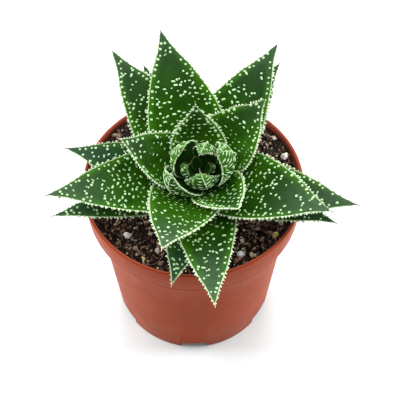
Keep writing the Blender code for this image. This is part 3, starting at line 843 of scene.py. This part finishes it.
class Leaf:
    """One leaf laid on its shell, worked out for whole arrays of places at once."""

    def __init__(self, order):
        self.order = order
        ahead, self.sweep, self.length, self.width = LEAVES[order]
        self.azimuth = math.radians(FIRST_TURN + TURN * order + ahead)
        self.blade = self.length - SPINE_LENGTH
        self.taper = np.interp(order, BLUNT_ORDER, BLUNT_TAPER)
        self.slip = YOUNG_SLIP if order >= KEELED_LEAF else 1.0
        self.spine_width = YOUNG_SPINE_HALF_WIDTH if order >= YOUNG_ORDER else SPINE_HALF_WIDTH
        self.shell = Shell(order)
        upper = max(order, 1)
        self.room = room_between(Shell(upper), Shell(upper - 1))

    def spine(self, along):
        """How far along its spine, from 0 at the blade's end to 1."""
        return np.clip((along - self.blade) / SPINE_LENGTH, 0.0, 1.0)

    def half_width(self, along):
        left = np.clip(1.0 - along / self.blade, 0.0, 1.0) ** self.taper
        share = left * (TAPER_START - TAPER_BEND * left)
        share = share / (1.0 + (share / WIDEST) ** 6) ** (1.0 / 6.0)
        drawn_out = 1.0 - TIP_NARROWING * smooth((along / self.blade - TIP_START) / TIP_RAMP)
        return self.width * share * drawn_out + self.spine_width * (1.0 - SPINE_TAPER * self.spine(along))

    def edge_thickness(self, along):
        edge = np.minimum(MARGIN_THICKNESS, 0.7 * self.middle(along))
        narrow = 1.0 - TIP_THINNING * self.spine(along + SPINE_LENGTH)
        return edge * narrow * (1.0 - SPINE_TAPER * self.spine(along))

    def middle(self, along):
        radius = self.shell.at(along)[0]
        between = np.interp(radius, ROOM_RADIUS, ROOM_SHARE)
        room = np.interp(along, self.shell.along, self.room) * between * CROWDING
        return np.minimum(np.minimum(MIDDLE_THICKNESS, room), 0.7 + 0.5 * self.half_width(along))

    def depth(self, along, across):
        """Thickness below the upper face, with the keel standing out of it."""
        edge = self.edge_thickness(along)
        arch = 1.0 - np.minimum(1.0, np.abs(across)) ** ARCH_POWER
        half_width = self.half_width(along)
        keel = (across - self.keel(along)) * half_width / KEEL_WIDTH
        rise = KEEL_RISE * smooth((along - KEEL_START) / KEEL_RAMP) * np.minimum(1.0, half_width / 4.0)
        return edge + np.maximum(self.middle(along) - edge, 0.0) * arch + rise * np.exp(-keel ** 2)

    def keel(self, along):
        return KEEL_PLACE * smooth(along / CLASP_LENGTH)

    def place(self, along, across, depth):
        """Points of the leaf in the rosette's frame."""
        radius, height, slope = self.shell.at(along)
        lean = np.cos(slope)
        lean = np.where(np.abs(lean) < LEAST_LEAN, np.copysign(LEAST_LEAN, lean), lean)
        cone = radius / lean
        half_width = self.half_width(along)
        spread = np.arctan(half_width / np.abs(cone)) / np.abs(lean)
        spread = (spread ** -4 + math.radians(CLASP_ANGLE) ** -4) ** -0.25
        offset = across * half_width
        slip = self.slip * np.copysign(np.hypot(cone, offset) - np.abs(cone), lean)
        radius, height, slope = self.shell.at(along + slip * smooth(along / CLASP_LENGTH))
        free = smooth(along / FOOT_BLEND)
        stem_side = (STEM_RADIUS - STEM_TOP_RADIUS) / (HIGHEST_FOOT - LOWEST_FOOT)
        radius = radius + depth * (free * np.sin(slope) + (1.0 - free) * stem_side)
        height = height - depth * (free * np.cos(slope) + (1.0 - free))
        angle = across * spread + math.radians(self.sweep) * (along / self.length) ** 2 + self.azimuth
        return np.stack([radius * np.cos(angle), radius * np.sin(angle), height], -1)


ROSETTE_TURN = np.array(Euler((math.radians(ROSETTE_LEAN), math.radians(ROSETTE_SIDE_LEAN), 0.0)).to_matrix())
ROSETTE_PLACE = POT_PLACE + (ROSETTE_X, ROSETTE_Y, ROSETTE_HEIGHT)


def unit(vectors):
    """Vectors brought to length one."""
    return vectors / np.maximum(np.linalg.norm(vectors, axis=-1, keepdims=True), 1e-9)


def quad(low, high, step, around):
    """One face between two rings of points, which start at these numbers."""
    following = (step + 1) % around
    return low + step, high + step, high + following, low + following


class Skin:
    """A leaf's finished skin, as rings of points: upper face, bead, lower face, other bead."""

    def __init__(self, leaf):
        self.leaf = leaf
        self.heart = leaf.order >= KEELED_LEAF
        self.blade_rows = max(20, round(leaf.blade / (HEART_ROW_STEP if self.heart else ROW_STEP)))
        rows = leaf.blade * np.linspace(0.0, 1.0, self.blade_rows + 1) ** ROW_BUNCHING
        rows = np.concatenate([rows, leaf.blade + SPINE_LENGTH * np.array(SPINE_ROWS)])
        upper = self.columns(rows)
        self.count, self.wide = upper.shape
        lower = upper[:, ::-1].copy()
        keel_row = self.blade_rows // 2
        keel_column = int(np.argmin(np.abs(lower[keel_row] - leaf.keel(rows[keel_row]))))
        lower[:, keel_column] = leaf.keel(rows)
        one = np.ones((self.count, 1))
        across = np.concatenate([upper, one, lower, -one], 1)
        self.around = across.shape[1]
        self.row = np.arange(self.count)[:, None]
        self.column = np.arange(self.around)[None]
        self.lower_side = (self.column > self.wide) & (self.column <= 2 * self.wide)
        self.beads = (self.column == self.wide) | (self.column == 2 * self.wide + 1)
        self.keel = self.column == self.wide + 1 + keel_column
        self.lay_out(rows, across)

    def columns(self, rows):
        """Places across the upper face: margin, rim, spot line and even columns between."""
        half_width = self.leaf.half_width(rows)
        rim = 1.0 - np.minimum(0.35, RIM_WIDTH / half_width)
        line = np.minimum(1.0 - np.minimum(0.6, SPOT_LINE / half_width), rim - 0.05)
        inner = np.linspace(-1.0, 1.0, INNER_COLUMNS + 2)[1:-1]
        one = np.ones_like(rim)
        return np.concatenate([
            np.stack([-one, -rim, -line], 1), line[:, None] * inner[None], np.stack([line, rim, one], 1),
        ], 1)

    def lay_out(self, rows, across):
        """Each point's place along and across the leaf, its depth and its distance from the margin."""
        leaf = self.leaf
        bow = leaf.half_width(rows) * smooth(rows / BOW_RAMP)
        bow = bow * smooth((leaf.blade - rows) / (BOW_END * leaf.blade))
        along = rows[:, None] + (HEART_BOW if self.heart else 0.0) * bow[:, None] * across ** 2
        half_width = leaf.half_width(along)
        edge = leaf.edge_thickness(along)
        bead = BEAD * np.clip((leaf.blade + BEAD_END - along) / BEAD_FADE, 0.1, 1.0)
        across = np.where(self.beads, across * (1.0 + bead / half_width), across)
        rim = np.maximum(0.0, (1.0 - np.abs(across)) * half_width)
        rounding = EDGE_ROUNDING * edge * (1.0 - np.minimum(1.0, rim / RIM_WIDTH))
        depth = np.where(self.lower_side, leaf.depth(along, across) - rounding, rounding)
        depth = np.where(self.beads, 0.5 * edge, depth) + SPINE_DROOP * leaf.spine(along)
        self.along, self.across, self.depth, self.rim = along, across, depth, rim

    def points(self):
        """The rings' points, then one that closes the foot and one at the spine's tip."""
        leaf = self.leaf
        rings = leaf.place(self.along, self.across, self.depth)
        tip_along = np.array([leaf.blade + SPINE_END * SPINE_LENGTH])
        tip = leaf.place(tip_along, np.array([0.0]), np.array([0.5 * MARGIN_THICKNESS]))
        points = np.concatenate([rings.reshape(-1, 3), rings[:1].mean(axis=1), tip])
        return points @ ROSETTE_TURN.T + ROSETTE_PLACE

    def faces(self):
        foot = self.count * self.around
        last = foot - self.around
        faces = []
        for low in range(0, last, self.around):
            faces += [quad(low, low + self.around, step, self.around) for step in range(self.around)]
        for step in range(self.around):
            following = (step + 1) % self.around
            faces.append((step, following, foot))
            faces.append((last + following, last + step, foot + 1))
        return faces

    def directions(self):
        """Crosswise, the way that a tooth would point, and out of the surface, at each point."""
        along, across, depth = self.along, self.across, self.depth
        place = self.leaf.place
        side = unit(place(along, across + 0.01, depth) - place(along, across - 0.01, depth))
        before = np.maximum(along - 0.1, 0.0)
        ahead = unit(place(along + 0.1, across, depth) - place(before, across, depth))
        facing = unit(np.cross(ahead, side))
        facing = np.where(self.lower_side[..., None], -facing, facing)
        from_bead = side * np.sign(across)[..., None] + 0.45 * ahead
        outward = unit(np.where(self.beads[..., None], from_bead, facing + 0.5 * ahead))
        return {"crosswise": side, "outward": outward, "skin_normal": facing}

    def growth(self):
        """What grows at each point: dashes near the foot, spots beyond, teeth on the beads."""
        row, column, wide, heart = self.row, self.column, self.wide, self.heart
        order = self.leaf.order
        share = self.along / self.leaf.length
        keel_line = heart & self.keel & (row >= 3) & (row < self.blade_rows)
        keel_teeth = keel_line & (row >= 4) & (row < self.blade_rows - 1)
        spot_columns = (2, wide - 3) if heart else (2, wide - 3, wide + 3, 2 * wide - 2)
        room_left = np.clip(2.0 * (1.0 - self.along / self.leaf.blade) + 0.6, 0.0, 1.0)
        bite = smooth((self.along - TOOTHLESS_FOOT) / TOOTH_RAMP) * room_left
        spots = smooth((self.rim - SPOT_LINE - 0.4) / 0.6)
        spots = spots * np.interp(share, SPOT_PLACE, SPOT_SHARE)
        spots = spots * np.where(self.lower_side, 0.7, 1.0)
        banded = np.interp(order, BAND_ORDER, BAND_REACH)
        picks = np.cumsum(np.random.default_rng(SEED + order).choice(BAND_STEPS[heart], self.count))
        band = np.isin(row, picks) & (share < banded) & (self.rim > 0.3) & (share > 0.08)
        return {
            "keel_line": keel_line,
            "margin": keel_teeth | (self.beads & (row <= self.blade_rows)),
            "spot_line": np.isin(column, spot_columns) & (row < round(SPOT_LINE_END * self.blade_rows)),
            "band": band & (self.lower_side | (not heart)),
            "bite": bite * (0.5 if order >= SMOOTH_ORDER else 1.0),
            "spots": np.where(heart | (share < banded + 0.02), 0.0, spots),
            "spot_size": np.interp(share, (0.0, 0.3, 0.9), (0.8, 1.0, 1.0)),
            "long": 1.0 if heart else np.interp(share, (0.1, banded + 0.01), (1.0, 0.55)),
        }

    def finish_values(self):
        """What the finishes need to know at each point."""
        leaf = self.leaf
        back = math.sin(leaf.azimuth)
        old = leaf.order <= YOUNG_ORDER
        return {
            "along": self.along / leaf.length,
            "rim": self.rim,
            "under": self.lower_side * 1.0,
            "young": leaf.order / (len(LEAVES) - 1),
            "dry": smooth((self.along - leaf.blade + 1.0) / 2.5),
            "pale_tip": float(back < -0.4 or not old),
            # Painted sheen: strongest on the older leaves that point to the front.
            "front_sheen": smooth(0.5 - 0.7 * back) * (1.0 if old else 0.4),
        }

    def values(self):
        """All named values and directions, with one more for the foot's point and the tip's."""
        named = (self.finish_values() | self.growth()).items()
        flat = {label: np.broadcast_to(value, self.rim.shape).ravel() for label, value in named}
        for label, vectors in self.directions().items():
            flat[label] = vectors.reshape(-1, 3) @ ROSETTE_TURN.T
        for label, value in flat.items():
            ends = np.zeros_like(value[:2]) if value.dtype == bool else value[[0, -1]]
            flat[label] = np.concatenate([value, ends])
        return flat


def make_leaf(order, skin_material, tree):
    """One finished leaf: skin, margin bead, spine, teeth and raised spots."""
    skin = Skin(Leaf(order))
    node = "leaf_%02d" % (order + 1)
    thing = mesh_piece(node + "_finished", skin.points(), skin.faces(), [skin_material], skin.values(), 50)
    lines = TOOTH_SPACING, TOOTH_HEIGHT, TOOTH_REACH
    spacing, height, reach = [float(np.interp(order, TOOTH_ORDER, line)) for line in lines]
    sizes = {"tooth_spacing": spacing, "tooth_height": height, "spot_radius": SPOT_RADIUS}
    sizes.update(HEART_SPACINGS if skin.heart else OUTER_SPACINGS)
    shortest = HEART_SHORTEST_DASH if skin.heart else SHORTEST_DASH
    tree.use(thing, sizes, tooth_reach=reach, shortest_dash=shortest, seed=SEED + order)
    finish_piece(thing, "leaf_skin", node)


def turned_mesh(profile, segments):
    """Points and faces of a profile turned about Z, from one end on the axis to the other."""
    points = [(0.0, 0.0, profile[0][1])]
    for radius, height in profile[1:-1]:
        for step in range(segments):
            angle = 2.0 * math.pi * step / segments
            points.append((radius * math.cos(angle), radius * math.sin(angle), height))
    points.append((0.0, 0.0, profile[-1][1]))
    last = len(points) - 1
    edge = last - segments
    faces = []
    for step in range(segments):
        following = (step + 1) % segments
        faces.append((0, 1 + step, 1 + following))
        faces += [quad(low, low + segments, step, segments) for low in range(1, edge, segments)]
        faces.append((edge + step, last, edge + following))
    return np.array(points), faces


def wall_radius(height):
    """Outer radius of the pot's tapered wall below the collar."""
    share = height / (POT_HEIGHT - COLLAR_HEIGHT)
    return BASE_RADIUS + (COLLAR_FOOT_RADIUS - COLLAR_STEP - BASE_RADIUS) * share


def collar_radius(height):
    """Outer radius of the collar, which widens a little towards the rim."""
    share = (height - POT_HEIGHT + COLLAR_HEIGHT) / COLLAR_HEIGHT
    return COLLAR_FOOT_RADIUS + (RIM_RADIUS - COLLAR_FOOT_RADIUS) * share


def pot_profile():
    """The pot's section with its rounded edges and the faint line above the collar's foot."""
    foot = POT_HEIGHT - COLLAR_HEIGHT
    lip = POT_HEIGHT - LIP_ROUND
    floor_top = FLOOR_UNDERSIDE + FLOOR_THICKNESS
    inner_step = foot - WALL
    section = [(0.0, FLOOR_UNDERSIDE), (wall_radius(FLOOR_UNDERSIDE) - WALL, FLOOR_UNDERSIDE)]
    section += [(BASE_RADIUS - inset, up) for inset, up in BASE_ROUND]
    section += [(wall_radius(height), height) for height in (*WALL_RINGS, foot - UNDER_STEP)]
    section += [(wall_radius(foot) + out, foot - down) for out, down in STEP_ROUND]
    section += [(COLLAR_FOOT_RADIUS - inset, foot + up) for inset, up in COLLAR_FOOT_ROUND]
    section += [(collar_radius(foot + up) - inset, foot + up) for inset, up in COLLAR_LINE]
    section += [(collar_radius(height), height) for height in (COLLAR_RING, lip)]
    for step in range(1, LIP_STEPS):
        angle = math.pi * step / LIP_STEPS
        radius = RIM_RADIUS - LIP_HALF_WIDTH * (1.0 - math.cos(angle))
        section.append((radius, lip + LIP_ROUND * math.sin(angle)))
    section += [
        (RIM_RADIUS - 2.0 * LIP_HALF_WIDTH, lip),
        (collar_radius(inner_step + INNER_STEP_RISE) - WALL, inner_step + INNER_STEP_RISE),
        (wall_radius(inner_step) - WALL, inner_step),
        (wall_radius(floor_top) - WALL, floor_top),
        (0.0, floor_top),
    ]
    return section


def block(centre, size):
    """Points and faces of a box given by its centre and its full size."""
    corners = np.array([(x, y, z) for x in (-0.5, 0.5) for y in (-0.5, 0.5) for z in (-0.5, 0.5)])
    faces = [(0, 1, 3, 2), (4, 6, 7, 5), (0, 4, 5, 1), (2, 3, 7, 6), (0, 2, 6, 4), (1, 5, 7, 3)]
    return corners * size + centre, faces


def turned_about(points, angle):
    """Points turned about Z by an angle in radians."""
    c, s = math.cos(angle), math.sin(angle)
    return points @ np.array([[c, s, 0.0], [-s, c, 0.0], [0.0, 0.0, 1.0]])


def cut_pot(pot, solids):
    """The pot with one group of solids cut out of it."""
    points = []
    faces = []
    for solid_points, solid_faces in solids:
        faces += [tuple(len(points) + corner for corner in face) for face in solid_faces]
        points += list(solid_points)
    cutter = mesh_piece("pot_cutter", np.array(points) + POT_PLACE, faces, [])
    modifier = pot.modifiers.new("cut", "BOOLEAN")
    modifier.operation = "DIFFERENCE"
    modifier.object = cutter
    settled(pot)
    bpy.data.objects.remove(cutter)


def make_pot(material):
    """The finished pot, with its notches and drain holes cut."""
    points, faces = turned_mesh(pot_profile(), POT_SEGMENTS)
    pot = mesh_piece("pot_finished", points + POT_PLACE, faces, [material], None, POT_SHARP_ANGLE)
    notch = block((BASE_RADIUS, 0.0, 0.0), (NOTCH_DEPTH, NOTCH_WIDTH, 2.0 * NOTCH_HEIGHT))
    section = [(0.0, 0.0), (DRAIN_RADIUS, 0.0), (DRAIN_RADIUS, DRAIN_CUT), (0.0, DRAIN_CUT)]
    drain = turned_mesh(section, DRAIN_SEGMENTS)
    ring_drain = drain[0] + (DRAIN_CIRCLE, 0.0, 0.0), drain[1]
    angles = [2.0 * math.pi * (step + 0.5) / NOTCH_COUNT for step in range(NOTCH_COUNT)]
    cut_pot(pot, [(turned_about(notch[0], angle), notch[1]) for angle in angles])
    cut_pot(pot, [drain] + [(turned_about(ring_drain[0], angle), ring_drain[1]) for angle in angles])

    from_axis = np.array([vertex.co for vertex in pot.data.vertices]) / MM - POT_PLACE
    radius = np.hypot(from_axis[:, 0], from_axis[:, 1])
    height = from_axis[:, 2]
    # The inner wall, which the finish paints lighter and pinker as painted light.
    inner_wall = radius < np.minimum(RIM_RADIUS - LIP_ROUND, collar_radius(height) - 0.4 * WALL)
    inner_wall &= height > POT_HEIGHT - COLLAR_HEIGHT + WALL
    name_values(pot.data, "inside", inner_wall.astype(float))
    pot.data.shade_smooth()
    pot.data.set_sharp_from_angle(angle=math.radians(POT_SHARP_ANGLE))
    finish_piece(pot, "pot_plastic", "pot")


def soil_waves():
    """The long waves of the mix's top, drawn as the solids draw them."""
    chance = np.random.default_rng(SEED)
    return [
        (
            chance.uniform(-WAVE_PITCH, WAVE_PITCH),
            chance.uniform(-WAVE_PITCH, WAVE_PITCH),
            chance.uniform(0.0, FULL_TURN),
        )
        for _ in range(SOIL_WAVES)
    ]


def soil_height(x, y, waves):
    """Height of the mix at a point: level, banked up at the back, with long waves."""
    total = sum(math.sin(a * x + b * y + phase) for a, b, phase in waves)
    outward = float(smooth((math.hypot(x, y) - SOIL_BANK_START) / SOIL_BANK_WIDTH))
    backward = float(smooth((y - SOIL_BANK_FRONT) / SOIL_BANK_DEPTH))
    return SOIL_LEVEL + SOIL_BANK * outward * backward + SOIL_RELIEF * total / math.sqrt(len(waves))


def rough_height(x, y, waves):
    """Height of the mix with its crumbly relief."""
    place = Vector((x, y, 0.0))
    lumps = noise.fractal(place * LUMP_PITCH, 0.9, 2.1, 4)
    clods = noise.noise(place * CLOD_PITCH + Vector((9.0, 4.0, 1.0)))
    return soil_height(x, y, waves) + LUMP_HEIGHT * lumps + CLOD_HEIGHT * clods - BED_SINK


def make_soil_bed(material, waves):
    """The bed of peat: a crumbly top on a plain body that fills the pot."""
    step = POT_HEIGHT - COLLAR_HEIGHT - WALL
    floor = FLOOR_UNDERSIDE + FLOOR_THICKNESS + SOIL_GAP
    inset = WALL + SOIL_GAP + BED_INSET
    outer = collar_radius(SOIL_LEVEL) - inset + SOIL_GAP
    profile = [(outer * share, 0.0) for share in np.linspace(0.0, 1.0, SOIL_RINGS + 1)]
    profile += [
        (collar_radius(step + INNER_STEP_RISE) - inset, step + INNER_STEP_RISE + SOIL_GAP),
        (wall_radius(step) - inset, step + SOIL_GAP),
        (wall_radius(floor) - inset, floor),
        (0.0, floor),
    ]
    points, faces = turned_mesh(profile, SOIL_SEGMENTS)
    top_count = 1 + SOIL_RINGS * SOIL_SEGMENTS
    for point in points[:top_count]:
        point[2] = rough_height(point[0], point[1], waves)
    top = np.hypot(points[:, 0], points[:, 1]) < outer - BED_EDGE
    top[top_count:] = False
    marks = {"top": top.astype(float)}
    bed = mesh_piece("soil_bed", points + POT_PLACE, faces, [material], marks, SOIL_SHARP_ANGLE)
    finish_piece(bed, "potting_mix", "soil")
    return bed


def litter_tree(bark_material, perlite_material):
    """Crumbs, bark chips, fibres and specks strewn over a surface."""
    tree = ShapeTree("soil_litter", "crumb spacing", "chip spacing", "fibre spacing", "speck spacing")

    def layer(
        kind, shift, shape, sizes, tints, tip, knock, pattern, lengths=(1.0, 1.0, 1.0), lift=(0.0, 0.0),
    ):
        """One kind of litter: strewn, raised, sized, tipped, tinted and knocked out of true."""
        seed = tree.maths("ADD", tree.seed, float(shift))
        spacing = tree.given[kind + " spacing"]
        points = tree.strewn(tree.given["Geometry"], "top", spacing, LITTER_DENSITY, seed)[0]
        points = tree.shifted(points, (0.0, 0.0, MM), tree.chance(*lift, seed))
        size = tree.product(tree.chance(*sizes, seed), MM)
        scale = tree.combined(*[tree.product(size, length) for length in lengths])
        sway = tree.chance(-tip, tip, seed)
        turn = tree.tipped(sway, tree.chance(-tip, tip, 5), tree.chance(0.0, FULL_TURN, 7))
        shapes = tree.placed(points, shape, turn, scale)
        shapes = tree.store(shapes, "tint", tree.chance(*tints, seed), "INSTANCE")
        return tree.knocked(shapes, knock * MM, pattern)

    grit = tree.ball(1.0, 1)
    arc = tree.shape("CurveQuadraticBezier", {
        "Resolution": 6, "Start": (-1.0, 0.0, 0.0), "Middle": (0.1, 0.4, 0.4), "End": (1.0, -0.1, 0.0),
    })
    strand = tree.tube(arc, 0.042, 3)
    bark = tree.join(
        layer(
            "crumb", 1, grit, sizes=(0.3, 1.1), tints=(0.02, 0.95), tip=1.4, knock=1.4, pattern=1100.0,
            lengths=(1.15, 0.8, 0.6),
        ),
        layer(
            "chip", 2, grit, sizes=(0.8, 1.9), tints=(0.1, 0.92), tip=0.7, knock=1.4, pattern=1100.0,
            lengths=(1.5, 0.75, 0.4),
        ),
        layer(
            "fibre", 3, strand, sizes=(0.7, 2.4), tints=(0.6, 1.0), tip=0.7, knock=1.8, pattern=420.0,
            lift=(-0.3, 1.0),
        ),
    )
    specks = layer(
        "speck", 4, tree.ball(1.0, 2), sizes=(0.12, 0.7), tints=(0.0, 0.9), tip=1.0, knock=0.3,
        pattern=1500.0,
    )
    litter = tree.join(tree.made_of(bark, bark_material), tree.made_of(specks, perlite_material))
    tree.feed(tree.result, tree.shaded(litter, False))
    return tree


def make_litter(bed, bark_material, perlite_material):
    """Everything loose that lies on the bed, as one piece."""
    litter = add_object("soil_litter", bed.data.copy())
    litter_tree(bark_material, perlite_material).use(litter, LITTER_SPACINGS, seed=SEED)
    finish_piece(litter, "potting_mix")


def perlite_tree(material):
    """A pitted grain on every point, as large as the point says."""
    tree = ShapeTree("perlite_grains", "knock")
    ball = tree.ball(0.5, 3)
    lump = tree.join(*[
        tree.copied(ball, place, (scale, scale, scale))
        for place, scale in (((0.0, 0.0, 0.0), 0.8), ((0.3, 0.12, -0.05), 0.52), ((-0.22, 0.26, 0.05), 0.46))
    ])
    turn = tree.tipped(tree.chance(0.0, 3.0), tree.chance(0.0, 3.0, 4), tree.chance(0.0, 6.0, 9))
    size = tree.named("size")
    wide = tree.product(size, tree.chance(0.8, 1.1))
    grains = tree.placed(tree.given["Geometry"], lump, turn, tree.combined(size, wide, wide))
    tree.feed(tree.result, tree.made_of(tree.knocked(grains, tree.given["knock"], 700.0), material))
    return tree


def make_perlite(material, waves):
    """The large white and cream grains, at the places of the solid ones."""
    sizes, tints = np.array(GRAINS, float).T[2:]
    points = [
        (*place, soil_height(*place, waves) + (0.5 - GRAIN_SINK) * size) for *place, size, tint in GRAINS
    ]
    points = np.array(points) + POT_PLACE
    grains = mesh_piece("perlite_grains", points, [], [], {"size": sizes * MM, "tint": tints})
    perlite_tree(material).use(grains, {"knock": GRAIN_KNOCK}, seed=SEED)
    finish_piece(grains, "potting_mix")


def make_stage():
    """A pale floor, soft light from large lamps and a bright room, and the camera."""
    around = ((-1, -1), (1, -1), (1, 1), (-1, 1))
    corners = [(x * FLOOR_REACH, y * FLOOR_REACH, FLOOR_LEVEL) for x, y in around]
    mesh_piece("floor", corners, [(0, 1, 2, 3)], [paper_finish()])

    world = bpy.data.worlds.new("bright_room")
    bpy.context.scene.world = world
    world.use_nodes = True
    background = world.node_tree.nodes["Background"]
    background.inputs["Color"].default_value = (1.0, 1.0, 1.0, 1.0)
    background.inputs["Strength"].default_value = ROOM_LIGHT
    for name, (place, size, power) in LAMPS.items():
        lamp = bpy.data.lights.new(name, "AREA")
        lamp.size = size * MM
        lamp.energy = power
        thing = add_object(name, lamp)
        thing.location = Vector(place) * MM
        aim = Vector(LAMP_AIM) * MM - thing.location
        thing.rotation_euler = aim.to_track_quat("-Z", "Y").to_euler()

    camera = add_object("camera", bpy.data.cameras.new("camera"))
    elevation = math.radians(CAMERA_ELEVATION)
    back = np.array((0.0, -math.cos(elevation), math.sin(elevation)))
    camera.location = (POT_PLACE + CAMERA_TARGET + CAMERA_DISTANCE * back) * MM
    camera.rotation_euler = (math.radians(90.0) - elevation, 0.0, 0.0)
    camera.data.lens = LENS
    camera.data.sensor_width = SENSOR_WIDTH
    bpy.context.scene.camera = camera
    bpy.context.scene.view_settings.view_transform = "Standard"


def main():
    waves = soil_waves()
    make_pot(pot_finish())
    bark, perlite = bark_finish(), perlite_finish()
    bed = make_soil_bed(peat_finish(), waves)
    make_litter(bed, bark, perlite)
    make_perlite(perlite, waves)
    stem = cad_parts["stem"]
    stem_material = stem_finish()
    for slot in stem.material_slots:
        slot.material = stem_material
    skin = leaf_skin_finish()
    tree = dressing_tree(tooth_finish(), spot_finish())
    for order in range(len(LEAVES)):
        make_leaf(order, skin, tree)
    make_stage()


main()
